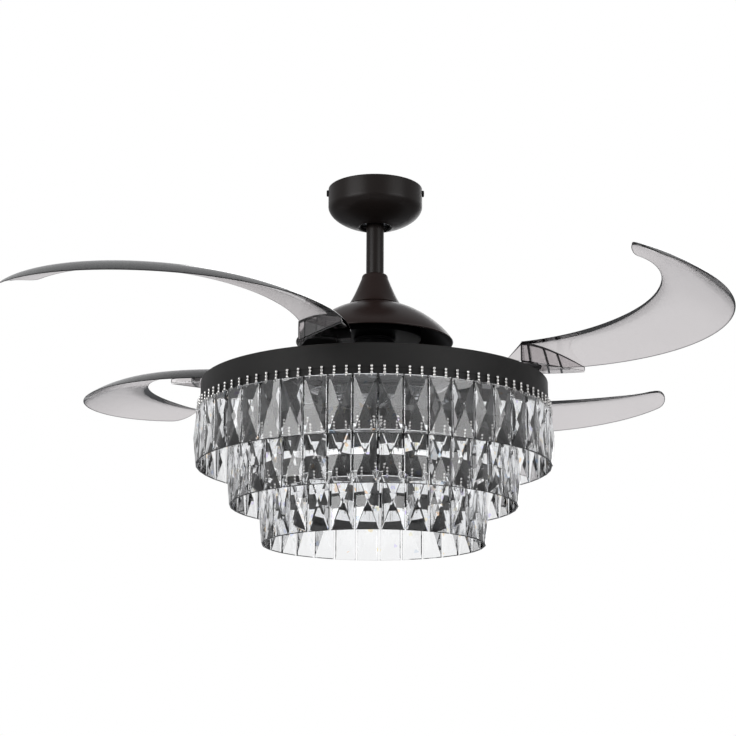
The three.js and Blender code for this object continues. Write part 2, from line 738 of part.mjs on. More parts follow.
const shapes = {
  blade: [bladeShape(), smoke],
  blade_hub: [bladeHubShape(), blackPlastic],
  pinion: [pinionShape().translate(0, 0, -zDeck), nylon],
  pivot_pin: [pivotPin(), steel],
};
const bumperPlace = new THREE.Vector2(bumper.reach, bladeHub.armWidth / 2 + GAP + bumper.radius).rotateAround(
  new THREE.Vector2(),
  rad(bladeHub.armBearing),
);
const bumperShape = post(bumper.radius, GAP, GAP + bumper.height, 12).translate(bumperPlace.x, bumperPlace.y, 0);
for (let i = 0; i < pivot.count; i++) {
  const station = new THREE.Group();
  station.rotation.z = rad(pivot.bearing + (360 * i) / pivot.count);
  const seat = new THREE.Group();
  seat.position.set(pivotCircle, 0, zDeck);
  station.add(seat);
  model.add(station);
  for (const [name, [geometry, material]] of Object.entries(shapes)) add(`${name}_${i + 1}`, geometry, material, seat);
  add(`rubber_stop_${i + 1}`, bumperShape, rubber, seat);
}

// ---------------------------------------------------------------- the light below
const [topTier, middleTier, bottomTier] = tiers;

/** The pan that closes the drum above: a disc on the shaft with a flange inside the drum. */
function lightPan() {
  const outer = corner(drum.radius - drum.sheet - GAP, topTier.count);
  const bore = shaft.radius + GAP;
  const { sheet, flange } = pan;
  return revolve(
    [
      [bore, zPan - sheet],
      [outer - sheet, zPan - sheet],
      [outer - sheet, zPan - flange],
      [outer, zPan - flange],
      [outer, zPan],
      [bore, zPan],
    ],
    topTier.count,
  ).rotateZ(stripTurn(topTier));
}

/** One crystal facing out along +X: a thin rectangle whose two faces each rise to a point in four facets. */
function crystalShape() {
  const { width, height, edge: rim, centre } = crystal;
  const corners = [
    [-width / 2, 0],
    [width / 2, 0],
    [width / 2, -height],
    [-width / 2, -height],
  ];
  const positions = [];
  [-rim / 2, rim / 2].forEach((x) => corners.forEach(([y, z]) => positions.push(x, y, z)));
  positions.push(-centre / 2, 0, -height / 2, centre / 2, 0, -height / 2);
  const index = [];
  for (let k = 0; k < 4; k++) {
    const next = (k + 1) % 4;
    index.push(k, next, 8, 4 + next, 4 + k, 9, next, k, 4 + k, next, 4 + k, 4 + next);
  }
  return new THREE.BufferGeometry()
    .setAttribute("position", new THREE.Float32BufferAttribute(positions, 3))
    .setIndex(index);
}

/** How far a tier's strip is turned so that a flat of it stands behind each crystal. */
const stripTurn = ({ count, phase }) => rad(-90 + phase + 360 / count);

/** A tier: its strip and the crystals that hang round it, their backs let into it along their top edges. */
function crystalTier(tier, profile) {
  const { radius, drop, count, phase } = tier;
  const hung = crystalShape().translate(radius - crystal.seat + crystal.edge / 2, 0, zHem - drop + crystal.lap);
  const all = Array.from({ length: count }, (_, i) => hung.clone().rotateZ(rad(-90 + phase + (360 * (i + 0.5)) / count)));
  return join(revolve(profile, count).rotateZ(stripTurn(tier)), all);
}

/** The top tier's strip: the drum's lower hem, with a lap inside the drum. */
function hemProfile({ count }) {
  const outer = corner(drum.radius, count);
  const inner = corner(drum.radius - drum.sheet - GAP, count);
  const back = inner - drum.sheet;
  const shoulder = zHem + drum.hem;
  return [
    [back, zHem],
    [outer, zHem],
    [outer, shoulder],
    [inner, shoulder],
    [inner, shoulder + drum.lap],
    [back, shoulder + drum.lap],
  ];
}

/** A lower tier's strip: a flat band. */
function stripProfile({ radius, drop, count }) {
  const outer = corner(radius, count);
  const inner = corner(radius - strip.sheet, count);
  const foot = zHem - drop;
  return [[inner, foot], [outer, foot], [outer, foot + strip.height], [inner, foot + strip.height]];
}

/** The welded frame that carries the two lower strips: a ring under the pan and stepped arms. */
function tierFrame() {
  const { arms, bearing: start, sheet, width, ring: depth } = frame;
  const [, middle, lower] = tiers;
  const inside = (tier) => tier.radius - strip.sheet - GAP;
  const footOf = (tier) => zHem - tier.drop + 1;
  const [r1, r2] = [inside(middle), inside(lower)];
  const [z1, z2] = [footOf(middle), footOf(lower)];
  const outline = [
    [r1 - sheet, zUnderPan - sheet / 2],
    [r1, zUnderPan - sheet / 2],
    [r1, z1],
    [r2, z1],
    [r2, z2],
    [r2 - sheet, z2],
    [r2 - sheet, z1 + sheet],
    [r1 - sheet, z1 + sheet],
  ].map(([r, z]) => new THREE.Vector2(r, z));
  const stepped = Array.from({ length: arms }, (_, i) =>
    prism(outline, -width / 2, width / 2)
      .rotateX(Math.PI / 2)
      .rotateZ(rad(start + (360 * i) / arms)),
  );
  return join(ring(r1 - depth, r1, zUnderPan - sheet, zUnderPan, 24), stepped);
}

/** The clear bowl under the light board. */
function diffuserShape() {
  const { depth, wall, flat } = diffuser;
  const radius = diffuserRadius;
  const steps = 4;
  const outer = Array.from({ length: steps + 1 }, (_, i) => {
    const a = (Math.PI / 2) * (i / steps);
    return [radius * (flat + (1 - flat) * Math.cos(a)), zUnderPan - depth * Math.sin(a)];
  });
  const inner = outer.map(([r], i) => {
    const a = (Math.PI / 2) * (i / steps);
    return [r - wall * Math.cos(a), zUnderPan - (depth - wall) * Math.sin(a)];
  });
  const floorLine = [[0, zUnderPan - depth], [0, zUnderPan - depth + wall]];
  return revolve([...outer, ...floorLine, ...inner.reverse()], 24);
}

/** The hexagon nut that clamps the pan to the shaft. */
function shaftNut() {
  return cut(
    post(nut.radius, zUnderPan - nut.height, zUnderPan, 6),
    drill(shaft.radius + GAP, zUnderPan - nut.height - 1, zUnderPan + 1, 14),
  );
}

add("light_pan", lightPan(), blackPaint);
const bandRadii = [drum.radius - drum.sheet, drum.radius].map((radius) => corner(radius, topTier.count));
add("drum_band", ring(...bandRadii, zHem + drum.hem + GAP, zDrum, topTier.count).rotateZ(stripTurn(topTier)), blackPaint);
add("crystal_tier_top", crystalTier(topTier, hemProfile(topTier)), glass);
add("crystal_tier_middle", crystalTier(middleTier, stripProfile(middleTier)), glass);
add("crystal_tier_bottom", crystalTier(bottomTier, stripProfile(bottomTier)), glass);
add("tier_frame", tierFrame(), blackPaint);
add("light_board", ring(board.hole, board.radius, zUnderPan - board.sheet, zUnderPan, 24), blackPaint);
add("light_diffuser", diffuserShape(), clearCover);
add(
  "light_driver",
  block(-driver.width / 2, driver.width / 2, -driver.length / 2, driver.length / 2, -driver.height, 0).translate(
    driver.circle,
    0,
    zUnderPan,
  ),
  blackPlastic,
);
add("shaft_nut", shaftNut(), zinc);

export default model;
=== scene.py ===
"""The looks of a ceiling fan with folding clear blades and a crystal light in three tiers.

Metres, +Z up. The origin is the centre of the bracket's face on the ceiling. The viewer stands on the -Y side.
Each sub-assembly is a class that holds its own sizes, builds its surfaces as numpy arrays and dresses them.
"""

import logging
import math
from dataclasses import dataclass, field
from enum import Enum
from typing import Any, Iterable, Optional, Sequence, Union

import bmesh
import bpy
import numpy as np
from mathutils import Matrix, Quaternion, Vector


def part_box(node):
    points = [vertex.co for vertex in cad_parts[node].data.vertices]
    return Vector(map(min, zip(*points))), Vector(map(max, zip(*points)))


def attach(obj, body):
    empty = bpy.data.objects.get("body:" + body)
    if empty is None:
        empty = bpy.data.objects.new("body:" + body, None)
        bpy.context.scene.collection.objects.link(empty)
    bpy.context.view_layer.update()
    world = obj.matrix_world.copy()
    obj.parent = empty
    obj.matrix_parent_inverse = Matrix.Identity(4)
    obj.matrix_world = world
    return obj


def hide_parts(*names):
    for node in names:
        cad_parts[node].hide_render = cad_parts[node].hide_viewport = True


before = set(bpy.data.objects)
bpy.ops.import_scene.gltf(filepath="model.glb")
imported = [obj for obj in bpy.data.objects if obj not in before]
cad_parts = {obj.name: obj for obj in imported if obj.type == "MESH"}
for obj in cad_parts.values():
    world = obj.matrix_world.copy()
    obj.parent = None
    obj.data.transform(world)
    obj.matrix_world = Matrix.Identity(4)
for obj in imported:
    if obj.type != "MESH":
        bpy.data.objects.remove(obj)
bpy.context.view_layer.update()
MM = 0.001
GAP = 0.3  # clearance between pieces that touch, in millimetres

log = logging.getLogger("ceiling_fan")


# ------------------------------------------------------------------ surfaces


def bezier(points: Sequence[Sequence[float]], steps: int) -> np.ndarray:
    """Samples a cubic curve.

    Each point is the sum of the four control points weighted by the binomials of t and 1 - t.

    Args:
        points: Four control points of any dimension.
        steps: How many equal steps of t to take.

    Returns:
        An array of steps + 1 points.
    """
    t = np.linspace(0.0, 1.0, steps + 1)[:, None]
    a, b, c, d = (np.array(p, float) for p in points)
    return a * (1 - t) ** 3 + 3 * b * t * (1 - t) ** 2 + 3 * c * t**2 * (1 - t) + d * t**3


def rounded(points: np.ndarray, radius: float, closed: bool = True, steps: int = 4) -> np.ndarray:
    """Rounds the corners of a polyline.

    Each corner becomes a quadratic curve that starts and ends one radius away from it along its two sides, or
    nearly half a side away where the side is short.

    Args:
        points: The corners, shape (n, 2).
        radius: How far from the corner the curve starts, in the points' unit.
        closed: Whether the last corner joins the first.
        steps: Steps in each corner's curve.

    Returns:
        The points of the rounded line.
    """
    count = len(points)
    made = []
    for i, point in enumerate(points):
        if not closed and i in (0, count - 1):
            made.append(point[None])
            continue
        before, after = points[i - 1] - point, points[(i + 1) % count] - point
        near, far = np.linalg.norm(before), np.linalg.norm(after)
        start = point + before / near * min(radius, near * 0.48)
        end = point + after / far * min(radius, far * 0.48)
        t = np.linspace(0.0, 1.0, steps + 1)[:, None]
        made.append(start * (1 - t) ** 2 + 2 * point * t * (1 - t) + end * t**2)
    return np.concatenate(made)


def sheet_profile(outer: np.ndarray, wall: float) -> np.ndarray:
    """Closes a line of (radius, height) points into a sheet's section.

    The inner line is the outer one moved by the wall along its normal, which is its direction after a quarter turn.

    Args:
        outer: The outer line, shape (n, 2).
        wall: The sheet's thickness; the inner line lies to the right of the outer line's direction.

    Returns:
        The closed section, shape (2n, 2).
    """
    along = np.gradient(outer, axis=0)
    along /= np.linalg.norm(along, axis=1)[:, None]
    inner = outer + wall * np.column_stack([along[:, 1], -along[:, 0]])
    return np.concatenate([outer, inner[::-1]])


def as_object(
    name: str,
    verts: np.ndarray,
    faces: Iterable,
    smooth_angle: Optional[float] = 40.0,
    rim: Optional[np.ndarray] = None,
) -> bpy.types.Object:
    """Makes a mesh object with merged vertices and faces that point out.

    Args:
        name: The object's name.
        verts: Vertices, shape (n, 3), in metres.
        faces: Faces as tuples or rows of vertex numbers.
        smooth_angle: Edges sharper than this many degrees stay sharp; None keeps every face flat.
        rim: How much painted shade each vertex carries, 0 to 1, kept as an attribute; it darkens clear edges that
            look dark from how light bends through them.

    Returns:
        The new object.
    """
    mesh = bpy.data.meshes.new(name)
    mesh.from_pydata(verts.tolist(), [], [list(map(int, f)) for f in faces])
    if rim is not None:
        mesh.attributes.new("rim", "FLOAT", "POINT").data.foreach_set("value", np.asarray(rim, np.float32))
    work = bmesh.new()
    work.from_mesh(mesh)
    bmesh.ops.remove_doubles(work, verts=work.verts, dist=1e-6)
    bmesh.ops.recalc_face_normals(work, faces=work.faces)
    work.to_mesh(mesh)
    work.free()
    if smooth_angle is not None:
        mesh.shade_smooth()
        mesh.set_sharp_from_angle(angle=math.radians(smooth_angle))
    made = bpy.data.objects.new(name, mesh)
    bpy.context.scene.collection.objects.link(made)
    return made


def grid_faces(rows: int, columns: int, wrap_rows: bool, wrap_columns: bool) -> np.ndarray:
    """Numbers the quads of a grid of vertices.

    Args:
        rows: Vertices along the first parameter.
        columns: Vertices along the second parameter.
        wrap_rows: Whether the last row joins the first.
        wrap_columns: Whether the last column joins the first.

    Returns:
        An array of quads, shape (n, 4).
    """
    i, j = np.meshgrid(
        np.arange(rows if wrap_rows else rows - 1),
        np.arange(columns if wrap_columns else columns - 1),
        indexing="ij",
    )
    up, across = (i + 1) % rows, (j + 1) % columns
    i, up = i * columns, up * columns
    return np.stack([i + j, up + j, up + across, i + across], axis=-1).reshape(-1, 4)


def turned_arrays(section: np.ndarray, segments: int) -> tuple:
    """Turns a closed section about Z.

    Each vertex is the section's radius times the cosine and sine of the turn, at the section's height.

    Args:
        section: Closed section of (radius, height).
        segments: Steps in a full turn.

    Returns:
        The vertices, shape (n, 3), and the faces.
    """
    turn = np.linspace(0.0, 2 * math.pi, segments, endpoint=False)[:, None]
    radius, height = section[:, 0][None], section[:, 1][None]
    verts = np.stack([radius * np.cos(turn), radius * np.sin(turn), height + 0 * turn], axis=-1)
    return verts.reshape(-1, 3), grid_faces(segments, len(section), True, True)


def turned_sheet(name: str, outer: np.ndarray, wall: float, segments: int) -> bpy.types.Object:
    """Turns a sheet about Z from its outer line, in millimetres; see sheet_profile."""
    return as_object(name, *turned_arrays(sheet_profile(outer, wall) * MM, segments))


def turned_solid(name: str, corners: Sequence, easing: float, segments: int) -> bpy.types.Object:
    """Turns a solid about Z from the corners of its section, in millimetres; see rounded."""
    return as_object(name, *turned_arrays(rounded(np.array(corners, float), easing) * MM, segments))


def turn_z(degrees: float) -> np.ndarray:
    """The matrix that turns rows of points about Z by an angle."""
    c, s = math.cos(math.radians(degrees)), math.sin(math.radians(degrees))
    return np.array([[c, s, 0.0], [-s, c, 0.0], [0.0, 0.0, 1.0]])


@dataclass
class MeshParts:
    """Collects shapes that end up in one mesh."""

    verts: list = field(default_factory=list)
    faces: list = field(default_factory=list)
    painted_edge_shades: list = field(default_factory=list)
    size: int = 0

    def add(self, verts: np.ndarray, faces: Iterable, rim: Optional[np.ndarray] = None) -> "MeshParts":
        """Adds one shape.

        Args:
            verts: Its vertices.
            faces: Its faces, numbered from zero.
            rim: How much painted shade each vertex carries, 0 to 1.

        Returns:
            This collection.
        """
        self.verts.append(verts)
        self.faces += [[int(k) + self.size for k in f] for f in faces]
        self.size += len(verts)
        if rim is not None:
            self.painted_edge_shades.append(rim)
        return self

    def build(self, name: str, **options: Any) -> bpy.types.Object:
        """Makes the object; see as_object."""
        rim = np.concatenate(self.painted_edge_shades) if self.painted_edge_shades else None
        return as_object(name, np.concatenate(self.verts), self.faces, rim=rim, **options)


def box_arrays(low: Sequence[float], high: Sequence[float]) -> tuple[np.ndarray, list]:
    """Gives the corners and faces of a box between two corners."""
    x, y, z = (np.array([low[i], high[i]]) for i in range(3))
    verts = np.array([[a, b, c] for c in z for b in y for a in x])
    return verts, [[0, 2, 3, 1], [4, 5, 7, 6], [0, 1, 5, 4], [2, 6, 7, 3], [0, 4, 6, 2], [1, 3, 7, 5]]


def disc_arrays(centre: Sequence[float], radius: float, height: float, sides: int, chamfer: float) -> tuple:
    """Gives an upright button: a circle raised to a height, its upper edge cut by a chamfer."""
    a = np.linspace(0, 2 * math.pi, sides, endpoint=False)
    rings = [(radius, 0.0), (radius, height - chamfer), (radius - chamfer, height)]
    verts = np.concatenate([np.column_stack([r * np.cos(a), r * np.sin(a), 0 * a + z]) for r, z in rings])
    faces = grid_faces(3, sides, False, True).tolist()
    faces += [list(range(sides))[::-1], list(range(2 * sides, 3 * sides))]
    return verts + np.array(centre, float), faces


def plate_arrays(outline: np.ndarray, foot: float, height: float) -> tuple:
    """Gives a plate: an outline in plan raised from a foot by a height."""
    count = len(outline)
    low = np.column_stack([outline, np.full(count, foot)])
    faces = [list(range(count))[::-1], list(range(count, 2 * count))]
    faces += grid_faces(2, count, False, True).tolist()
    return np.concatenate([low, low + [0, 0, height]]), faces


def lofted_arrays(rows: Sequence[np.ndarray]) -> tuple:
    """Gives a closed loft: each row runs along it, and one point of every row makes a section.

    Args:
        rows: Lines of equally many points, in order round the section.

    Returns:
        The vertices, section by section, and the faces with both ends closed.
    """
    sections, count = len(rows[0]), len(rows)
    last = count * (sections - 1)
    ends = [list(range(count)), [last + k for k in range(count)][::-1]]
    return np.stack(rows, axis=1).reshape(-1, 3), grid_faces(sections, count, False, True).tolist() + ends


# ------------------------------------------------------------------ shading


class Value:
    """A shader socket whose arithmetic adds Math nodes."""

    def __init__(self, graph: "Graph", socket: bpy.types.NodeSocket) -> None:
        """Wraps a socket of a graph."""
        self.graph, self.socket = graph, socket

    def _math(self, operation: str, first: Any, second: Any = 0.0) -> "Value":
        """Adds one Math node and gives its output."""
        return self.graph.out("ShaderNodeMath", {"operation": operation}, {0: first, 1: second})

    def __add__(self, other: Any) -> "Value":
        """Sum."""
        return self._math("ADD", self, other)

    def __sub__(self, other: Any) -> "Value":
        """Difference."""
        return self._math("SUBTRACT", self, other)

    def __rsub__(self, other: Any) -> "Value":
        """Difference, the other way round."""
        return self._math("SUBTRACT", other, self)

    def __mul__(self, other: Any) -> "Value":
        """Product."""
        return self._math("MULTIPLY", self, other)

    def maximum(self, other: Any) -> "Value":
        """The larger of two values."""
        return self._math("MAXIMUM", self, other)


class Graph:
    """A node tree that is built from nothing."""

    def __init__(self, tree: bpy.types.NodeTree) -> None:
        """Empties the tree."""
        self.tree = tree
        tree.nodes.clear()

    def node(self, kind: str, settings: Optional[dict] = None, sockets: Optional[dict] = None) -> bpy.types.Node:
        """Adds a node.

        Args:
            kind: The node's type.
            settings: Its own settings, set first; "stops" gives a ramp's (place, colour) pairs.
            sockets: Values or links of its inputs, by name or number.

        Returns:
            The node.
        """
        made = self.tree.nodes.new(kind)
        for name, value in (settings or {}).items():
            if name == "stops":
                stops = made.color_ramp.elements
                while len(stops) < len(value):
                    stops.new(1.0)
                for stop, (place, colour) in zip(stops, value):
                    stop.position, stop.color = place, (*colour, 1.0)
            else:
                setattr(made, name, value)
        for name, value in (sockets or {}).items():
            if isinstance(value, Value):
                self.tree.links.new(value.socket, made.inputs[name])
            else:
                made.inputs[name].default_value = value
        return made

    def out(self, kind: str, settings: Any = None, sockets: Optional[dict] = None, name: Any = 0) -> Value:
        """Adds a node and gives one of its outputs; see node."""
        return Value(self, self.node(kind, settings, sockets).outputs[name])

    def place(self) -> Value:
        """The point on the surface, in the piece's own metres."""
        return self.out("ShaderNodeTexCoord", name="Object")

    def noise(self, scale: float, detail: float = 3.0, stretch: Sequence[float] = (1, 1, 1)) -> Value:
        """Noise from 0 to 1 over the surface.

        Args:
            scale: Cells in a metre.
            detail: How many finer layers are added.
            stretch: How the pattern is squeezed along X, Y and Z.

        Returns:
            The noise.
        """
        point = self.out("ShaderNodeMapping", None, {"Vector": self.place(), "Scale": tuple(stretch)})
        return self.out("ShaderNodeTexNoise", None, {"Vector": point, "Scale": scale, "Detail": detail})

    def mix(self, factor: Any, first: Any, second: Any) -> Value:
        """Mixes two colours by a factor."""
        node = self.node("ShaderNodeMix", {"data_type": "RGBA"}, {0: factor, 6: first, 7: second})
        return Value(self, node.outputs[2])

    def bump(self, height: Value, strength: float, distance: float) -> Value:
        """A normal that follows a height."""
        return self.out("ShaderNodeBump", None, {"Height": height, "Strength": strength, "Distance": distance})

    def finish(self, sockets: dict) -> None:
        """Ends a material in a Principled shader with these sockets."""
        shader = self.out("ShaderNodeBsdfPrincipled", None, sockets)
        self.node("ShaderNodeOutputMaterial", None, {"Surface": shader})


def rgba(colour: Sequence[float]) -> tuple:
    """A colour with full alpha."""
    return (*colour, 1.0)


def shade(colour: Sequence[float], factor: float) -> tuple:
    """A colour made lighter or darker by a factor, with full alpha."""
    return rgba([min(c * factor, 1.0) for c in colour])


@dataclass(frozen=True)
class Finish:
    """A named finish; each kind says in its graph how the surface looks."""

    name: str

    def material(self) -> bpy.types.Material:
        """Makes the material once and gives it back after that."""
        found = bpy.data.materials.get(self.name)
        if found:
            return found
        made = bpy.data.materials.new(self.name)
        made.use_nodes = True
        self.draw(Graph(made.node_tree))
        return made

    def draw(self, graph: Graph) -> None:
        """Builds the finish's nodes."""
        raise NotImplementedError


@dataclass(frozen=True)
class Paint(Finish):
    """Sprayed or powder-coated steel: a mottled colour under a fine orange peel."""

    colour: tuple
    roughness: float
    peel: float = 0.05
    grain: float = 900.0
    gloss: float = 0.16

    def draw(self, graph: Graph) -> None:
        """Cloudy colour, roughness that drifts a little, and a bump of fine noise."""
        clouds = graph.noise(14.0, 4.0)
        peel = graph.noise(self.grain, 2.0)
        graph.finish(
            {
                "Base Color": graph.mix(clouds, shade(self.colour, 0.82), shade(self.colour, 1.2)),
                "Roughness": clouds * 0.1 + (self.roughness - 0.05),
                "Specular IOR Level": self.gloss,
                "Normal": graph.bump(peel, self.peel, 0.0004),
            }
        )


@dataclass(frozen=True)
class Metal(Finish):
    """Bare or plated metal with fine scratches."""

    colour: tuple
    roughness: float

    def draw(self, graph: Graph) -> None:
        """Cloudy plating, and scratches drawn out along X."""
        clouds = graph.noise(60.0, 3.0)
        scratches = graph.noise(900.0, 2.0, (0.06, 1, 1))
        graph.finish(
            {
                "Base Color": graph.mix(clouds, shade(self.colour, 0.85), shade(self.colour, 1.1)),
                "Roughness": scratches * 0.16 + (self.roughness - 0.08),
                "Metallic": 1.0,
                "Normal": graph.bump(scratches, 0.06, 0.0003),
            }
        )


@dataclass(frozen=True)
class Moulding(Finish):
    """Moulded plastic or rubber with a spark-eroded grain."""

    colour: tuple
    roughness: float
    grain: float = 1600.0
    depth: float = 0.08

    def draw(self, graph: Graph) -> None:
        """A faint flow pattern in the colour, and the mould's grain as a bump."""
        flow = graph.noise(25.0, 2.0)
        grain = graph.noise(self.grain, 1.0)
        graph.finish(
            {
                "Base Color": graph.mix(flow, shade(self.colour, 0.9), shade(self.colour, 1.12)),
                "Roughness": grain * 0.08 + (self.roughness - 0.04),
                "Specular IOR Level": 0.22,
                "Normal": graph.bump(grain, self.depth, 0.0003),
            }
        )


@dataclass(frozen=True)
class Clear(Finish):
    """Clear plastic, tinted and faintly uneven."""

    colour: tuple
    ior: float
    roughness: float = 0.0
    wave: float = 0.02
    scale: float = 30.0
    # Colour of the painted shade on clear edges that look dark from refraction.
    rim: Optional[tuple] = None

    def draw(self, graph: Graph) -> None:
        """A tint that drifts over long, shallow waves; the mesh's rim attribute mixes in painted shade along edges
        that look dark from how light bends through them.
        """
        waves = graph.noise(self.scale, 1.0)
        tint = graph.mix(waves, shade(self.colour, 0.97), shade(self.colour, 1.03))
        if self.rim:
            # Painted shade: the rim attribute mixes a near-black colour into the tint along clear edges.
            edge = graph.out("ShaderNodeAttribute", {"attribute_name": "rim"}, None, "Fac")
            tint = graph.mix(edge, tint, rgba(self.rim))
        graph.finish(
            {
                "Base Color": tint,
                "Roughness": waves * 0.004 + self.roughness,
                "IOR": self.ior,
                "Transmission Weight": 1.0,
                "Normal": graph.bump(waves, self.wave, 0.002),
            }
        )


@dataclass(frozen=True)
class CutGlass(Finish):
    """Polished lead crystal, with rainbow glints painted into the base colour of a few small cells in place of
    dispersion.
    """

    colour: tuple
    ior: float
    # Share of cells that carry a painted rainbow glint.
    painted_glint_share: float
    cells: float = 170.0

    def draw(self, graph: Graph) -> None:
        """A clear body; a ramp over random cells of a slanting pattern paints rainbow glints into a few of them."""
        place = graph.out("ShaderNodeMapping", None, {"Vector": graph.place(), "Rotation": (0.4, 0.7, 0.3)})
        cell = graph.out("ShaderNodeTexVoronoi", None, {"Vector": place, "Scale": self.cells}, "Color")
        pick = graph.out("ShaderNodeSeparateColor", None, {0: cell})
        # Painted glints: the colours of dispersion, painted into the base colour.
        painted_glint_colours = [(1.0, 0.6, 0.3), (1.0, 0.93, 0.6), (0.5, 0.72, 1.0), (0.75, 0.62, 1.0)]
        stops = [(0.0, self.colour)]
        for i, painted_glint_colour in enumerate(painted_glint_colours):
            start = 1 - self.painted_glint_share + self.painted_glint_share * i / len(painted_glint_colours)
            stops += [(start - 0.0005, stops[-1][1]), (start, painted_glint_colour)]
        graph.finish(
            {
                "Base Color": graph.out("ShaderNodeValToRGB", {"stops": stops}, {0: pick}),
                "Roughness": graph.noise(200.0, 1.0) * 0.008,
                "IOR": self.ior,
                "Transmission Weight": 1.0,
            }
        )


@dataclass(frozen=True)
class StudioFloor(Finish):
    """A matt white floor that looks nearly white to the camera and through glass, yet takes a shadow."""

    colour: tuple = (0.8, 0.8, 0.8)
    glow: float = 0.62

    def draw(self, graph: Graph) -> None:
        """Faintly mottled paint, and a glow that only camera rays and rays through glass meet."""
        rays = graph.node("ShaderNodeLightPath")
        seen = Value(graph, rays.outputs["Is Camera Ray"])
        seen = seen.maximum(Value(graph, rays.outputs["Is Transmission Ray"]))
        glow = rgba((self.glow, self.glow, self.glow))
        graph.finish(
            {
                "Base Color": graph.mix(graph.noise(3.0), shade(self.colour, 0.98), shade(self.colour, 1.02)),
                "Roughness": 0.9,
                "Emission Color": graph.mix(seen, rgba((0, 0, 0)), glow),
                "Emission Strength": 1.0,
            }
        )


class Finishes(Enum):
    """The finishes of the whole fan."""

    BROWN_PAINT = Paint("brown_black_paint", (0.0125, 0.0095, 0.0085), 0.36, 0.04, 700.0)
    BRONZE_PAINT = Paint("dark_bronze_paint", (0.022, 0.0135, 0.012), 0.3, 0.03, 700.0)
    BLACK_COAT = Paint("charcoal_powder_coat", (0.02, 0.0195, 0.019), 0.5, 0.12, 1100.0)
    MOTOR_BLACK = Paint("motor_enamel", (0.008, 0.008, 0.008), 0.4, 0.1, 500.0)
    SILVER = Metal("nickel_plate", (0.8, 0.79, 0.77), 0.16)
    ZINC = Metal("zinc_plate", (0.5, 0.52, 0.54), 0.34)
    SCREW_BLACK = Paint("black_oxide", (0.006, 0.006, 0.006), 0.42, 0.02, 900.0)
    BLACK_MOULD = Moulding("black_abs", (0.009, 0.009, 0.0095), 0.38)
    WHITE_MOULD = Moulding("white_abs", (0.78, 0.77, 0.74), 0.45)
    NYLON = Moulding("natural_nylon", (0.7, 0.66, 0.57), 0.42)
    RUBBER = Moulding("black_rubber", (0.01, 0.01, 0.01), 0.75, 900.0, 0.2)
    # The last colour is painted shade for the blades' edges and the ribs of their root boxes.
    SMOKE = Clear("smoke_acrylic", (0.64, 0.615, 0.622), 1.49, 0.0, 0.004, 9.0, rim=(0.03, 0.028, 0.03))
    # The last number is the share of cells with painted rainbow glints.
    CRYSTAL = CutGlass("cut_crystal", (0.972, 0.977, 0.984), 1.6, 0.012)
    CRYSTAL_LOWER = CutGlass("cut_crystal_lower", (0.972, 0.977, 0.984), 1.6, 0.014)
    COVER = Clear("cover_acrylic", (0.8, 0.81, 0.82), 1.06, 0.05, 0.02, 40.0)


def dress(
    piece: bpy.types.Object,
    finish: Finishes,
    body: str,
    nodes: Union[str, Sequence[str]] = (),
) -> bpy.types.Object:
    """Gives a piece its finish, the body it moves with and the CAD nodes it stands for.

    Args:
        piece: The object.
        finish: Its finish.
        body: The CAD body it rides on.
        nodes: A node's name, or several.

    Returns:
        The same object.
    """
    piece.data.materials.clear()
    piece.data.materials.append(finish.value.material())
    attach(piece, body)
    names = [nodes] if isinstance(nodes, str) else list(nodes)
    if names:
        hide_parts(*names)
    log.info("%s rides on %s", piece.name, body)
    return piece


def dress_node(name: str, finish: Finishes) -> None:
    """Gives a CAD node that stays in view its finish."""
    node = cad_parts[name]
    node.data.materials.clear()
    node.data.materials.append(finish.value.material())


# ------------------------------------------------------------------ the hanging parts


@dataclass(frozen=True)
class Stack:
    """Heights of the hanging parts as photographed, in millimetres below the ceiling."""

    top: float = -0.3
    canopy_foot: float = -60.2
    screw: float = -6.0
    ball_centre: float = -36.6
    rod_top: float = -17.6
    cover_top: float = -137.9
    dome_top: float = -187.0
    dome_foot: float = -245.7


STACK = Stack()


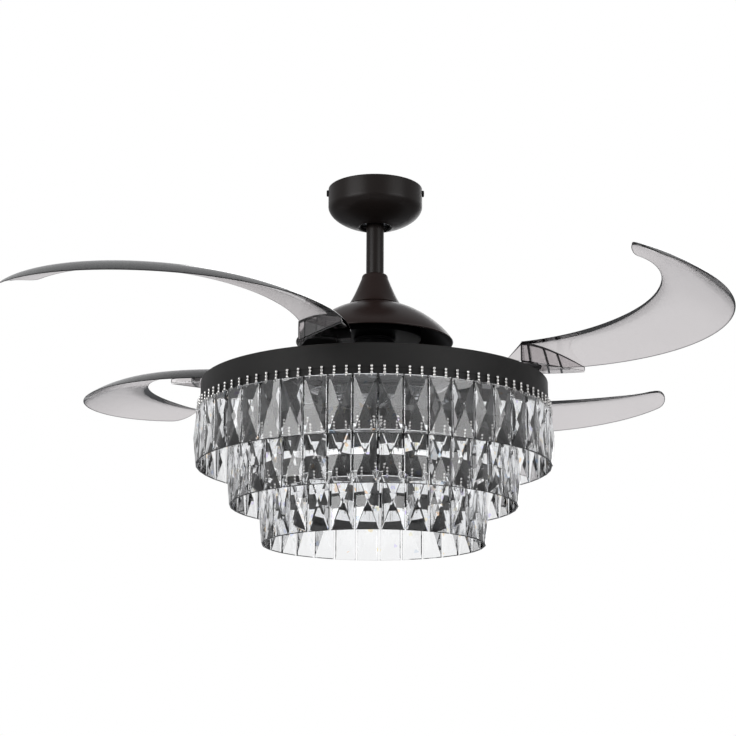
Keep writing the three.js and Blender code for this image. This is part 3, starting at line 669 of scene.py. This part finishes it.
@dataclass
class Canopy:
    """The cover on the ceiling, its two side screws, and the ball that hangs in its mouth."""

    radius: float = 70.8
    side: float = 27.8
    wall: float = 1.5
    mouth: float = 24.3
    lip: float = 2.2
    ball_radius: float = 24.0
    ball_floor: float = 19.0
    ball_head: float = 0.62
    ball_bore: float = 13.75
    top: float = STACK.top
    foot: float = STACK.canopy_foot
    ball_centre: float = STACK.ball_centre
    plate: float = 58.0
    sheet: float = 2.5
    legs: float = 26.5
    strap: float = 42.0
    strap_foot: float = 53.5
    seat: float = 19.5

    def shell(self) -> bpy.types.Object:
        """The shell: straight side, rounded slope and a mouth whose edge is rolled in."""
        corner = self.top - self.side
        fall = self.top - self.foot - self.side
        slope = bezier(
            [
                (self.radius, corner),
                (self.radius, corner - 0.225 * fall),
                (self.mouth + 0.83 * (self.radius - self.mouth), corner - 0.66 * fall),
                (self.mouth + self.lip, self.foot + 0.8),
            ],
            28,
        )
        centre = np.array([self.mouth + self.lip, self.foot + self.lip])
        angle = np.radians(np.linspace(250, 150, 7))
        roll = centre + self.lip * np.column_stack([np.cos(angle), np.sin(angle)])
        outer = np.concatenate([[[self.radius, self.top]], slope, roll])
        return turned_sheet("canopy_shell", outer, -self.wall, 160)

    def ball(self) -> bpy.types.Object:
        """The hanger ball's lower cap and sides, as a ring round the rod."""
        angle = np.linspace(math.asin(-self.ball_floor / self.ball_radius), math.asin(self.ball_head), 24)
        skin = np.column_stack([np.cos(angle), np.sin(angle)]) * self.ball_radius + [0, self.ball_centre]
        bore = np.array([[self.ball_bore, skin[-1, 1]], [self.ball_bore, skin[0, 1]]])
        return as_object("hanger_ball_skin", *turned_arrays(np.concatenate([skin, bore]) * MM, 96))

    def screw(self, side: int) -> bpy.types.Object:
        """A knurled screw through the canopy's side: shank, step and head.

        Each ring is a circle about X of some radius, at some distance out from the canopy's side. The knurl is a
        cosine on the head's radius.

        Args:
            side: 1 for +X, -1 for -X.

        Returns:
            The screw.
        """
        sides = 28
        a = np.linspace(0, 2 * math.pi, sides, endpoint=False)
        knurl = 1 + 0.05 * np.cos(a * sides / 2)
        rings = [(2, -8.5, 1), (2, -0.2, 1), (3.4, 0.3, 1), (3.4, 1.2, 1)]
        rings += [(4.8, 1.4, knurl), (4.8, 3.6, knurl), (4, 4.4, 1)]
        verts = np.concatenate(
            [
                np.column_stack([0 * a + self.radius + out, radius * cut * np.cos(a), radius * cut * np.sin(a)])
                for radius, out, cut in rings
            ]
        )
        verts = (verts + [0, 0, STACK.screw]) * [side, 1, 1] * MM
        faces = grid_faces(len(rings), sides, False, True).tolist()
        faces += [list(range(sides)), list(range((len(rings) - 1) * sides, len(rings) * sides))]
        return as_object(f"canopy_thumbscrew_{'right' if side > 0 else 'left'}", verts, faces)

    def bracket(self) -> bpy.types.Object:
        """The bracket: a plate on the ceiling, and a strap folded into a U whose floor holds the ball."""
        parts = MeshParts()
        y = self.strap / 2
        foot, top = -self.strap_foot, -self.sheet
        boxes = [((-self.plate, -y, top), (self.plate, y, 0))]
        boxes += [((x, -y, foot), (x + self.sheet, y, top)) for x in (-self.legs, self.legs - self.sheet)]
        for low, high in boxes:
            verts, faces = box_arrays(low, high)
            parts.add(verts * MM, faces)
        a = np.linspace(0, 2 * math.pi, 48, endpoint=False)
        square = np.maximum(np.abs(np.cos(a)) / self.legs, np.abs(np.sin(a)) / y)
        rings = []
        for radius, z in ((1 / square, foot), (1 / square, foot + self.sheet), (self.seat, foot + self.sheet)):
            rings.append(np.column_stack([radius * np.cos(a), radius * np.sin(a), 0 * a + z]))
        rings.append(rings[2] * [1, 1, 0] + [0, 0, foot])
        parts.add(np.concatenate(rings) * MM, grid_faces(4, 48, True, True))
        return parts.build("ceiling_strap", smooth_angle=30)

    def build(self) -> None:
        """Builds and dresses everything at the ceiling."""
        dress(self.shell(), Finishes.BROWN_PAINT, "mounting", "canopy")
        dress(self.ball(), Finishes.ZINC, "hanging_frame", "hanger_ball")
        for side, name in ((1, "right"), (-1, "left")):
            dress(self.screw(side), Finishes.SCREW_BLACK, "mounting", f"canopy_screw_{name}")
        dress(self.bracket(), Finishes.ZINC, "mounting", "ceiling_bracket")
        dress_node("remote_receiver", Finishes.WHITE_MOULD)
        dress_node("ball_cross_pin", Finishes.SILVER)


@dataclass
class Stem:
    """The down rod and the flared cover at its foot."""

    rod_radius: float = 13.45
    rod_bore: float = 11.2
    shoulder: float = 20.5
    shoulder_drop: float = 7.0
    foot_radius: float = 40.6
    wall: float = 1.6

    def rod(self) -> bpy.types.Object:
        """The tube, its ends slightly rounded."""
        foot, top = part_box("down_rod")[0].z / MM, STACK.rod_top
        corners = [(self.rod_radius, foot), (self.rod_radius, top), (self.rod_bore, top), (self.rod_bore, foot)]
        return turned_solid("rod_tube", corners, 0.4, 96)

    def cover(self) -> bpy.types.Object:
        """The flared cover: a flat crown, a soft shoulder and a trumpet that widens to the dome."""
        top, foot = STACK.cover_top, STACK.dome_top + GAP
        height = top - foot
        neck = self.rod_radius + GAP
        crown = bezier(
            [
                (self.shoulder - 4, top),
                (self.shoulder - 1, top),
                (self.shoulder - 0.6, top - self.shoulder_drop / 2),
                (self.shoulder, top - self.shoulder_drop),
            ],
            10,
        )
        flare = bezier(
            [
                (self.shoulder, top - self.shoulder_drop),
                (self.shoulder + 5.3, top - height * 0.4),
                (self.shoulder + 11.4, top - height * 0.75),
                (self.foot_radius, foot),
            ],
            24,
        )[1:]
        outer = np.concatenate([[[neck, top]], crown, flare])
        return turned_sheet("coupling_cover_shell", outer, self.wall, 128)

    def build(self) -> None:
        """Builds and dresses the rod and its cover."""
        dress(self.rod(), Finishes.BROWN_PAINT, "hanging_frame", "down_rod")
        dress(self.cover(), Finishes.BRONZE_PAINT, "hanging_frame", "coupling_cover")
        dress_node("coupler", Finishes.ZINC)
        dress_node("coupler_pin", Finishes.SILVER)


@dataclass
class Motor:
    """The dome, the motor's turning casing under it and the column down to the deck."""

    flat: float = 36.0
    rim: float = 118.7
    wall: float = 1.6
    lip: float = 1.2
    hole: float = 8.0
    casing_radius: float = 70.0
    casing_bore: float = 9.3
    chamfer: float = 7.0
    column: float = 32.0
    groove: float = 1.5
    hub_bore: float = 15.0
    collar: float = 25.9
    flange: float = 46.0
    flange_depth: float = 4.0
    screws: int = 6
    screw_circle: float = 39.0

    def dome(self) -> bpy.types.Object:
        """The spun dome: a flat crown, a slope that steepens outwards, and a rolled rim."""
        top, foot = STACK.dome_top, STACK.dome_foot + self.lip
        height = top - foot
        slope = bezier(
            [
                (self.flat, top),
                (self.flat + 0.41 * (self.rim - self.flat), top - 0.13 * height),
                (self.flat + 0.87 * (self.rim - self.flat), top - 0.66 * height),
                (self.rim - 0.3, foot + 0.5),
            ],
            48,
        )
        angle = np.radians(np.linspace(20, -110, 7))
        roll = np.array([self.rim - self.lip, foot]) + self.lip * np.column_stack([np.cos(angle), np.sin(angle)])
        outer = np.concatenate([[[self.hole, top]], slope, roll])
        return turned_sheet("dome_shell", outer, self.wall, 192)

    def casing(self) -> bpy.types.Object:
        """The motor casing with rounded edges."""
        low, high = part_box("motor_casing")
        foot, top, outer = low.z / MM, high.z / MM, self.casing_radius
        corners = [(self.casing_bore, foot), (outer, foot), (outer, top - self.chamfer)]
        corners += [(outer - self.chamfer, top), (self.casing_bore, top)]
        return turned_solid("motor_casing_skin", corners, 1.5, 128)

    def hub(self) -> bpy.types.Object:
        """The column and its flange, with a ring groove under the motor."""
        low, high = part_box("rotor_hub")
        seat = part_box("blade_deck")[1].z / MM + GAP
        foot, top, groove = low.z / MM, high.z / MM, self.column - self.groove
        corners = [(self.hub_bore, foot), (self.collar, foot), (self.collar, seat), (self.flange, seat)]
        corners += [(self.flange, seat + self.flange_depth), (self.column, seat + self.flange_depth)]
        corners += [(self.column, top - 5), (groove, top - 4), (groove, top - 2.5), (self.column, top - 1.5)]
        corners += [(self.column, top), (self.hub_bore, top)]
        return turned_solid("hub_column", corners, 0.8, 96)

    def hub_screws(self) -> bpy.types.Object:
        """Bright pan-head screws on the flange."""
        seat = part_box("blade_deck")[1].z + (GAP + self.flange_depth) * MM
        parts = MeshParts()
        for i in range(self.screws):
            verts, faces = disc_arrays((self.screw_circle * MM, 0, seat), 0.0032, 0.0022, 16, 0.0008)
            parts.add(verts @ turn_z(360 * i / self.screws + 20), faces)
        return parts.build("hub_flange_screws")

    def build(self) -> None:
        """Builds and dresses the motor and its dome."""
        dress(self.dome(), Finishes.BRONZE_PAINT, "hanging_frame", "motor_dome")
        dress(self.casing(), Finishes.MOTOR_BLACK, "rotor", "motor_casing")
        dress(self.hub(), Finishes.BLACK_MOULD, "rotor", "rotor_hub")
        dress(self.hub_screws(), Finishes.SILVER, "rotor")
        dress_node("fixed_shaft", Finishes.ZINC)


# ------------------------------------------------------------------ the blades


@dataclass
class BladeStation:
    """One blade with its hub, in a frame whose origin is the pivot and whose -X points to the fan's axis."""

    number: int
    bearing: float = -25.25
    circle: float = 200.0
    swing: float = 131.2
    nest: float = 245.3
    outer_span: tuple = (13.0, 174.5)
    inner_radius: float = 206.9
    inner_centre: tuple = (70.0, 99.65)
    inner_span: tuple = (27.0, 154.0)
    outer_rise: tuple = (10.5, 15.2, 18.8, 45.7)
    inner_rise: tuple = (33.7, 44.1, 68.3, 55.0)
    camber: float = 9.0
    thickness: float = 4.0
    edge: float = 2.4
    tip: float = 0.06
    box_length: float = 0.128
    box_floor: float = 3.9
    box_sheet: float = 2.4
    ribs: tuple = (0.13, 0.41, 0.62)
    rib_sheet: float = 3.2
    barrel: float = 21.0
    barrel_height: float = 10.0
    fin: float = 0.05
    barrel_foot: float = 0.6
    arm_bearing: float = 40.0
    arm_length: float = 62.0
    arm_width: float = 44.0
    arm_sheet: float = 3.0

    def plan(self, outer: bool, u: np.ndarray) -> np.ndarray:
        """A blade edge in plan.

        The edge is an arc: the outer one about the fan's axis and the inner one about its own centre, both taken
        in the folded place and turned about the pivot by the swing.

        Args:
            outer: True for the outer edge.
            u: 0 at the root to 1 at the tip.

        Returns:
            Points in millimetres, shape (n, 2).
        """
        start, end = self.outer_span if outer else self.inner_span
        radius = self.nest if outer else self.inner_radius
        angle = -np.radians(start + (end - start) * u)
        reach, bearing = (0.0, 0.0) if outer else self.inner_centre
        centre = reach * np.array([math.cos(math.radians(bearing)), math.sin(math.radians(bearing))])
        points = radius * np.column_stack([np.cos(angle), np.sin(angle)]) + centre - [self.circle, 0]
        return points @ turn_z(self.swing)[:2, :2]

    def middle(self, u: np.ndarray, v: np.ndarray) -> np.ndarray:
        """Points midway through the blade's thickness.

        Plan points lie between the two edges at share v. Heights come from the two edges' cubic curves, plus a
        camber that is a parabola over the width.

        Args:
            u: 0 at the root to 1 at the tip.
            v: 0 at the outer edge to 1 at the inner edge.

        Returns:
            Points in millimetres above the deck, shape (n, 3).
        """
        outer, inner = self.plan(True, u), self.plan(False, u)
        low, high = (
            (1 - u) ** 3 * a + 3 * u * (1 - u) ** 2 * b + 3 * u**2 * (1 - u) * c + u**3 * d
            for a, b, c, d in (self.outer_rise, self.inner_rise)
        )
        flat = outer * (1 - v)[:, None] + inner * v[:, None]
        return np.column_stack([flat, low * (1 - v) + high * v + self.camber * 4 * v * (1 - v)])

    def placed(self, points: np.ndarray) -> np.ndarray:
        """Moves points from the station's frame, in millimetres, to the fan's, in metres."""
        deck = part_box("blade_deck")[1].z
        moved = (points + [self.circle, 0, 0]) * MM
        return moved @ turn_z(self.bearing + 90.0 * (self.number - 1)) + [0, 0, deck]

    def skin(self) -> bpy.types.Object:
        """The blade: a lens section carried from root to tip, narrowing in a half ellipse at the tip."""
        tip_steps = np.sin(np.linspace(0, math.pi / 2, 12)[1:])
        along = np.concatenate([np.linspace(0, 1 - self.tip, 70), 1 - self.tip + self.tip * tip_steps * 0.999])
        u, a = np.meshgrid(along, np.linspace(0, 2 * math.pi, 56, endpoint=False), indexing="ij")
        past = np.clip((u - (1 - self.tip)) / self.tip, 0, 1)
        width = np.sqrt(np.maximum(1 - past**2, 0.002))
        v = 0.5 - 0.5 * np.cos(a) * width
        half = 0.5 * (self.edge + (self.thickness - self.edge) * 4 * v * (1 - v))
        lift = half * np.sign(np.sin(a)) * np.abs(np.sin(a)) ** 0.4
        points = self.middle(u.ravel(), v.ravel())
        points[:, 2] += lift.ravel()
        verts, faces = lofted_arrays(points.reshape(*u.shape, 3).transpose(1, 0, 2))
        # Painted shade: the blade's edge faces and tip take the dark rim colour that clear edges show from
        # refraction.
        rim = np.where((np.abs(np.cos(a)) > 0.975) | (u > 0.9999), 1.0, 0.0).ravel()
        parts = MeshParts().add(self.placed(verts), faces, rim)
        return parts.build(f"blade_skin_{self.number}", smooth_angle=50)

    def upright(
        self, parts: MeshParts, low: np.ndarray, high: np.ndarray, across: np.ndarray, edge: Sequence
    ) -> None:
        """Adds an upright sheet, ruled between the line of its foot and the line of its head.

        Args:
            parts: The mesh that it joins.
            low: The foot, shape (n, 3).
            high: The head, shape (n, 3).
            across: From the sheet's middle to its left face.
            edge: Pairs from the head down: a share of the height, and how much painted shade it carries.
        """
        levels = [(low * (1 - share) + high * share, painted_shade) for share, painted_shade in edge]
        sides = [(level - across, painted_shade) for level, painted_shade in levels[::-1]]
        sides += [(level + across, painted_shade) for level, painted_shade in levels]
        verts, faces = lofted_arrays([row for row, _ in sides])
        parts.add(self.placed(verts), faces, np.tile([painted_shade for _, painted_shade in sides], len(low)))

    def wall(self, parts: MeshParts, foot: Sequence, head: tuple, thick: float, edge: Sequence) -> None:
        """Adds a wall of the root box, from a straight foot to a head that follows the skin.

        Args:
            parts: The mesh that it joins.
            foot: Plan points where the wall's foot starts and ends.
            head: Shares (u, v) of the blade's length and width at the head's start and end.
            thick: Its thickness.
            edge: The painted shade along its head; see upright.
        """
        t = np.linspace(0, 1, 11)
        (u0, v0), (u1, v1) = head
        high = self.middle(u0 + (u1 - u0) * t, v0 + (v1 - v0) * t) - [0, 0, self.edge / 2 - 0.2]
        line = foot[0] * (1 - t)[:, None] + foot[1] * t[:, None]
        low = np.column_stack([line, np.full(len(t), self.box_floor + self.box_sheet)])
        along = (foot[1] - foot[0]) / np.linalg.norm(foot[1] - foot[0])
        self.upright(parts, low, high, np.array([-along[1], along[0], 0]) * thick / 2, edge)

    def side_fin(self, parts: MeshParts) -> None:
        """Adds the clear fin that falls from the root's inner corner to the deck, along the inner edge."""
        line = self.plan(False, np.linspace(-self.fin, 0, 7))
        foot = np.full(len(line), self.box_floor + 2.0)
        rise = (self.inner_rise[0] - self.edge / 2 - foot) * np.linspace(0.02, 1, len(line))
        along = np.gradient(line, axis=0)
        along /= np.linalg.norm(along, axis=1)[:, None]
        across = np.column_stack([-along[:, 1], along[:, 0], 0 * foot]) * self.box_sheet * 0.4
        low, high = np.column_stack([line, foot]), np.column_stack([line, foot + rise])
        # Painted shade: a dark line along the fin's head.
        self.upright(parts, low, high, across, [(1.0, 1.0), (0.9, 1.0), (0.88, 0.0), (0.0, 0.0)])

    def root_box(self) -> bpy.types.Object:
        """The open box under the root: a floor, a slanting wall, an end wall, ribs and a fin."""
        outer = self.plan(True, np.linspace(0, self.box_length, 25))
        corner = self.plan(False, np.zeros(1))[0]
        parts = MeshParts()
        verts, faces = plate_arrays(np.concatenate([[corner], outer]), self.box_floor, self.box_sheet)
        parts.add(self.placed(verts), faces, np.zeros(len(verts)))
        # Painted shade: a dark line along each wall's head, over the share of its height given here.
        for end, u, painted_shade in ((outer[-1], self.box_length, 0.14), (outer[0], 0.0, 0.06)):
            edge = [(1.0, 1.0), (1 - painted_shade, 1.0), (1 - painted_shade * 1.05, 0.0), (0.0, 0.0)]
            self.wall(parts, (corner, end), ((0.0, 1.0), (u, 0.0)), self.box_sheet, edge)
        for share in self.ribs:
            start = corner * (1 - share) + outer[-1] * share
            reach = self.box_length * share
            end = self.plan(True, np.array([reach]))[0]
            # Painted shade: the ribs are dark all over, as clear ribs seen edge-on look.
            edge = [(height, 1.0) for height in (1.0, 0.7, 0.3, 0.0)]
            self.wall(parts, (start, end), ((reach, 1.0 - share), (reach, 0.0)), self.rib_sheet, edge)
        self.side_fin(parts)
        return parts.build(f"blade_root_box_{self.number}", smooth_angle=20)

    def hub(self) -> bpy.types.Object:
        """The black barrel, its cap with a rim, and the arm under the blade's root."""
        foot, top, side = self.barrel_foot, self.barrel_foot + self.barrel_height, self.barrel
        corners = [(0.01, foot), (side, foot), (side, top - 3.4), (side - 0.7, top - 3.0), (side - 0.7, top)]
        corners += [(side - 4.5, top), (side - 5.0, top - 1.0), (0.01, top - 1.0)]
        verts, faces = turned_arrays(rounded(np.array(corners), 0.7), 64)
        parts = MeshParts().add(self.placed(verts), faces)
        half, reach, start = self.arm_width / 2, self.arm_length, side * 0.5
        outline = rounded(np.array([(start, -half), (reach, -half), (reach, half), (start, half)]), 15)
        verts, faces = plate_arrays(outline @ turn_z(self.arm_bearing)[:2, :2], foot, self.arm_sheet)
        parts.add(self.placed(verts), faces)
        return parts.build(f"blade_hub_moulding_{self.number}", smooth_angle=35)

    def screws(self) -> bpy.types.Object:
        """Bright screws: one in the barrel's cap and three through the box's floor into the arm."""
        parts = MeshParts()
        cap = self.barrel_foot + self.barrel_height - 1.0
        floor = self.box_floor + self.box_sheet
        places = [(0, 0, cap, 3.6), (34, -9, floor, 3.0), (50, -11, floor, 3.0), (48, 5, floor, 3.0)]
        for x, y, z, radius in places:
            spot = np.array([x, y, z], float) @ turn_z(self.arm_bearing)
            verts, faces = disc_arrays(spot, radius, 2.0, 18, 0.7)
            parts.add(self.placed(verts), faces)
        return parts.build(f"blade_screws_{self.number}")

    def build(self) -> None:
        """Builds and dresses the blade, its hub and the small parts round it."""
        body, n = f"folding_blade_{self.number}", self.number
        dress(self.skin(), Finishes.SMOKE, body, f"blade_{n}")
        dress(self.root_box(), Finishes.SMOKE, body)
        dress(self.hub(), Finishes.BLACK_MOULD, body, f"blade_hub_{n}")
        dress(self.screws(), Finishes.SILVER, body)
        dress_node(f"pinion_{n}", Finishes.NYLON)
        dress_node(f"pivot_pin_{n}", Finishes.SILVER)
        dress_node(f"rubber_stop_{n}", Finishes.RUBBER)


# ------------------------------------------------------------------ the drum and its crystals


@dataclass
class Drum:
    """The deck, the band round it and the plates of the light."""

    band_radius: float = 259.3
    band_sheet: float = 2.5
    hem: float = 9.0
    lap: float = 7.0
    deck_radius: float = 222.0
    deck_bore: float = 26.3

    def band(self) -> bpy.types.Object:
        """The drum's band, one bent sheet with eased edges, down to its hem."""
        low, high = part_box("drum_band")
        foot, top, outer = low.z / MM, high.z / MM, self.band_radius
        inner = outer - self.band_sheet
        corners = [(outer, foot), (outer, top), (inner, top), (inner, foot)]
        return turned_solid("drum_band_sheet", corners, 0.5, 256)

    def hem_ring(self) -> bpy.types.Object:
        """The lower hem that the top tier hangs from, with its lap inside the band."""
        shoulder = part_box("drum_band")[0].z / MM - 0.02
        foot, lap = shoulder - self.hem - 0.28, shoulder + self.lap
        inner = self.band_radius - self.band_sheet - GAP
        back = inner - self.band_sheet
        corners = [(back, foot), (self.band_radius, foot), (self.band_radius, shoulder), (inner, shoulder)]
        return turned_solid("drum_hem", corners + [(inner, lap), (back, lap)], 0.3, 256)

    def deck(self) -> bpy.types.Object:
        """The deck: a plate with a rounded rim, its skirt, and a shallow groove round it."""
        low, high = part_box("blade_deck")
        top, foot, outer = high.z / MM, low.z / MM, self.deck_radius
        corners = [(self.deck_bore, top - 3), (outer - 2.5, top - 3), (outer - 2.5, foot), (outer, foot)]
        corners += [(outer, top), (outer - 6, top), (outer - 7, top - 0.8), (outer - 9, top - 0.8)]
        return turned_solid("deck_plate", corners + [(outer - 10, top), (self.deck_bore, top)], 0.9, 224)

    def build(self) -> None:
        """Builds and dresses the drum."""
        dress(self.band(), Finishes.BLACK_COAT, "hanging_frame", "drum_band")
        dress(self.hem_ring(), Finishes.BLACK_COAT, "hanging_frame")
        dress(self.deck(), Finishes.BLACK_MOULD, "rotor", "blade_deck")
        for name in ("light_pan", "tier_frame", "light_board"):
            dress_node(name, Finishes.BLACK_COAT)
        for name in ("gear_floor", "light_driver"):
            dress_node(name, Finishes.BLACK_MOULD)
        dress_node("ring_gear", Finishes.NYLON)
        dress_node("light_diffuser", Finishes.COVER)
        dress_node("shaft_nut", Finishes.ZINC)


@dataclass
class CrystalTier:
    """A ring of cut crystals, each hung by two beaded clips from a black strip."""

    node: str
    radius: float
    count: int
    phase: float
    drop: float
    strip_height: float = 24.0
    strip_sheet: float = 2.0
    width: float = 32.6
    height: float = 82.0
    girdle: float = 3.2
    edge: float = 5.0
    centre: float = 12.0
    chamfer: float = 0.9
    clip_reach: float = 8.4
    bead: float = 2.35
    bead_pitch: float = 4.5
    clip_gap: float = 0.25
    loop: float = 3.1
    wire: float = 0.5
    pin: float = 0.45
    seat: float = 0.1

    @property
    def top(self) -> float:
        """Height of the glass's upper edge, in millimetres."""
        return (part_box("crystal_tier_top")[0].z / MM) + self.height - self.drop

    def around(self, verts: np.ndarray) -> np.ndarray:
        """Copies points, which face +X at the tier's radius, to every crystal's bearing.

        Args:
            verts: Points of one crystal, shape (n, 3).

        Returns:
            Points of them all, shape (count, n, 3).
        """
        angle = np.radians(-90 + self.phase + 360 * (np.arange(self.count) + 0.5) / self.count)
        c, s = np.cos(angle)[:, None], np.sin(angle)[:, None]
        x, y, z = verts.T
        return np.stack([x * c - y * s, x * s + y * c, z + 0 * c], axis=-1)

    def crystals(self) -> bpy.types.Object:
        """The crystals: thin plates with chamfered rims, each face cut into four facets that meet at its centre.

        Rings of four corners go from the centre of the back, out round the rim, to the centre of the front.
        """
        wide, high, deep, c = self.width / 2, self.height / 2, self.girdle / 2, self.chamfer
        quad = np.array([[-1, 1], [1, 1], [1, -1], [-1, -1]], float)
        levels = [(-deep, wide - c, high - c), (-deep + c, wide, high)]
        levels += [(-x, a, b) for x, a, b in levels[::-1]]
        rings = [np.column_stack([np.full(4, x), quad * [a, b]]) for x, a, b in levels]
        verts = np.concatenate([[[-self.centre / 2, 0, 0]], *rings, [[self.centre / 2, 0, 0]]])
        faces = [[0, 1 + k, 1 + (k + 1) % 4] for k in range(4)]
        faces += (grid_faces(4, 4, False, True) + 1).tolist()
        faces += [[17, 13 + (k + 1) % 4, 13 + k] for k in range(4)]
        verts = verts + [self.radius + self.edge / 2 + self.seat, 0, self.top - high]
        parts = MeshParts()
        for crystal in self.around(verts) * MM:
            parts.add(crystal, faces)
        return parts.build(f"{self.node}_glass", smooth_angle=None)

    def clips(self) -> bpy.types.Object:
        """The clips: three beads in a row over each of two loops that enter the glass.

        A bead is a sphere of few faces; a loop is a thin ring carried round a small circle.
        """
        clip = MeshParts()
        lat, lon = np.linspace(0, math.pi, 6), np.linspace(0, 2 * math.pi, 8, endpoint=False)
        a, b = np.meshgrid(lat, lon, indexing="ij")
        ball = np.stack([np.sin(a) * np.cos(b), np.sin(a) * np.sin(b), np.cos(a)], -1).reshape(-1, 3) * self.bead
        x = self.radius + self.bead + self.clip_gap
        a = np.linspace(0, 2 * math.pi, 5, endpoint=False)
        wire = np.column_stack([self.loop + self.wire * np.cos(a), self.wire * np.sin(a)])
        loop, loop_faces = turned_arrays(wire, 10)
        for y in (-self.clip_reach, self.clip_reach):
            for i in range(3):
                z = self.top + self.bead * 0.75 + self.bead_pitch * i
                clip.add(ball + [x, y, z], grid_faces(6, 8, False, True))
            clip.add(loop[:, [0, 2, 1]] + [x, y, self.top - 1.6], loop_faces)
            low = (x - self.pin, y - self.pin, self.top - 1)
            clip.add(*box_arrays(low, (x + self.pin, y + self.pin, self.top + self.bead_pitch * 2.4)))
        parts = MeshParts()
        for copy in self.around(np.concatenate(clip.verts)) * MM:
            parts.add(copy, clip.faces)
        return parts.build(f"{self.node}_clips", smooth_angle=60)

    def strip(self) -> bpy.types.Object:
        """The black strip behind the clips."""
        outer, inner = self.radius, self.radius - self.strip_sheet
        foot, top = self.top, self.top + self.strip_height
        corners = [(inner, foot), (outer, foot), (outer, top), (inner, top)]
        return turned_solid(f"{self.node}_strip", corners, 0.3, 192)

    def build(self) -> None:
        """Builds and dresses the tier."""
        finish = Finishes.CRYSTAL_LOWER if self.drop else Finishes.CRYSTAL
        dress(self.crystals(), finish, "hanging_frame", self.node)
        dress(self.clips(), Finishes.SILVER, "hanging_frame")
        if self.drop:
            dress(self.strip(), Finishes.BLACK_COAT, "hanging_frame")


# ------------------------------------------------------------------ the studio


@dataclass
class Studio:
    """The camera as the photograph has it, a pale floor, soft lamps and a white surround."""

    distance: float = 2.475
    below_band: float = 0.5875
    pitch: float = 13.98
    roll: float = 0.284
    focal_pixels: float = 1694.0
    frame_pixels: float = 736.0
    principal_x: float = 374.47
    floor_height: float = -1.7
    floor_half: float = 40.0
    aim_height: float = -0.3
    ambient: float = 0.26
    mirrored: float = 0.4

    def camera(self) -> None:
        """Puts the camera at the fitted place and angle."""
        data = bpy.data.cameras.new("photograph")
        data.sensor_width = 36.0
        data.lens = self.focal_pixels / self.frame_pixels * data.sensor_width
        data.shift_x = -(self.principal_x - self.frame_pixels / 2) / self.frame_pixels
        data.clip_end = 50
        made = bpy.data.objects.new("photograph", data)
        bpy.context.scene.collection.objects.link(made)
        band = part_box("drum_band")[1].z
        made.location = (0, -self.distance, band - self.below_band)
        made.rotation_mode = "QUATERNION"
        upward = Quaternion((1, 0, 0), math.radians(90 + self.pitch))
        made.rotation_quaternion = upward @ Quaternion((0, 0, 1), math.radians(self.roll))
        bpy.context.scene.camera = made

    def lamp(self, name: str, place: Sequence[float], size: Sequence[float], watts: float) -> None:
        """Adds a soft box that faces the middle of the fan.

        Args:
            name: Its name.
            place: Where it stands.
            size: Its width and height.
            watts: Its power.
        """
        data = bpy.data.lights.new(name, "AREA")
        data.shape, data.energy = "RECTANGLE", watts
        data.size, data.size_y = size
        made = bpy.data.objects.new(name, data)
        bpy.context.scene.collection.objects.link(made)
        made.location = place
        made.visible_camera = False
        made.visible_transmission = False
        made.rotation_mode = "QUATERNION"
        made.rotation_quaternion = (Vector((0, 0, self.aim_height)) - Vector(place)).to_track_quat("-Z", "Y")

    def floor(self) -> None:
        """A pale floor far below."""
        corners = np.array([(-1, -1, 0), (1, -1, 0), (1, 1, 0), (-1, 1, 0)]) * self.floor_half
        made = as_object("studio_floor", corners + [0, 0, self.floor_height], [[0, 1, 2, 3]], smooth_angle=None)
        made.data.materials.append(StudioFloor("studio_floor_paint").material())

    def surround(self) -> None:
        """A world that is white to the camera and through glass, and soft grey as a light and in mirrors."""
        world = bpy.data.worlds.new("surround")
        world.use_nodes = True
        graph = Graph(world.node_tree)
        rays = graph.node("ShaderNodeLightPath")
        seen = Value(graph, rays.outputs["Is Camera Ray"])
        seen = seen.maximum(Value(graph, rays.outputs["Is Glossy Ray"]) * self.mirrored)
        unmirrored = 1.0 - Value(graph, rays.outputs["Glossy Depth"]) * 0.3
        seen = seen.maximum(Value(graph, rays.outputs["Is Transmission Ray"]) * unmirrored.maximum(0.0))
        sky = {"Color": rgba((0.93, 0.95, 1.0)), "Strength": self.ambient}
        light = graph.out("ShaderNodeBackground", None, sky)
        white = graph.out("ShaderNodeBackground", None, {"Color": rgba((1, 1, 1)), "Strength": 1.0})
        mixed = graph.out("ShaderNodeMixShader", None, {0: seen, 1: light, 2: white})
        graph.node("ShaderNodeOutputWorld", None, {"Surface": mixed})
        bpy.context.scene.world = world

    def build(self) -> None:
        """Sets the whole studio."""
        self.camera()
        self.surround()
        self.floor()
        self.lamp("left_bank", (-2.1, -1.9, 0.25), (2.0, 1.5), 48)
        self.lamp("right_bank", (2.2, -1.8, 0.2), (1.8, 1.5), 30)
        self.lamp("back", (0.4, 2.4, 0.4), (1.8, 1.8), 14)
        bpy.context.scene.view_settings.view_transform = "Standard"


def main() -> None:
    """Builds the studio and every sub-assembly in order."""
    logging.basicConfig(level=logging.INFO, format="%(name)s: %(message)s")
    Studio().build()
    Canopy().build()
    Stem().build()
    Motor().build()
    Drum().build()
    for number in range(1, 5):
        BladeStation(number).build()
    CrystalTier("crystal_tier_top", 259.3, 48, 1.1, 0.0).build()
    CrystalTier("crystal_tier_middle", 208.2, 38, 1.4, 58.0).build()
    CrystalTier("crystal_tier_bottom", 159.8, 29, 3.2, 114.2).build()


if __name__ == "__main__":
    main()
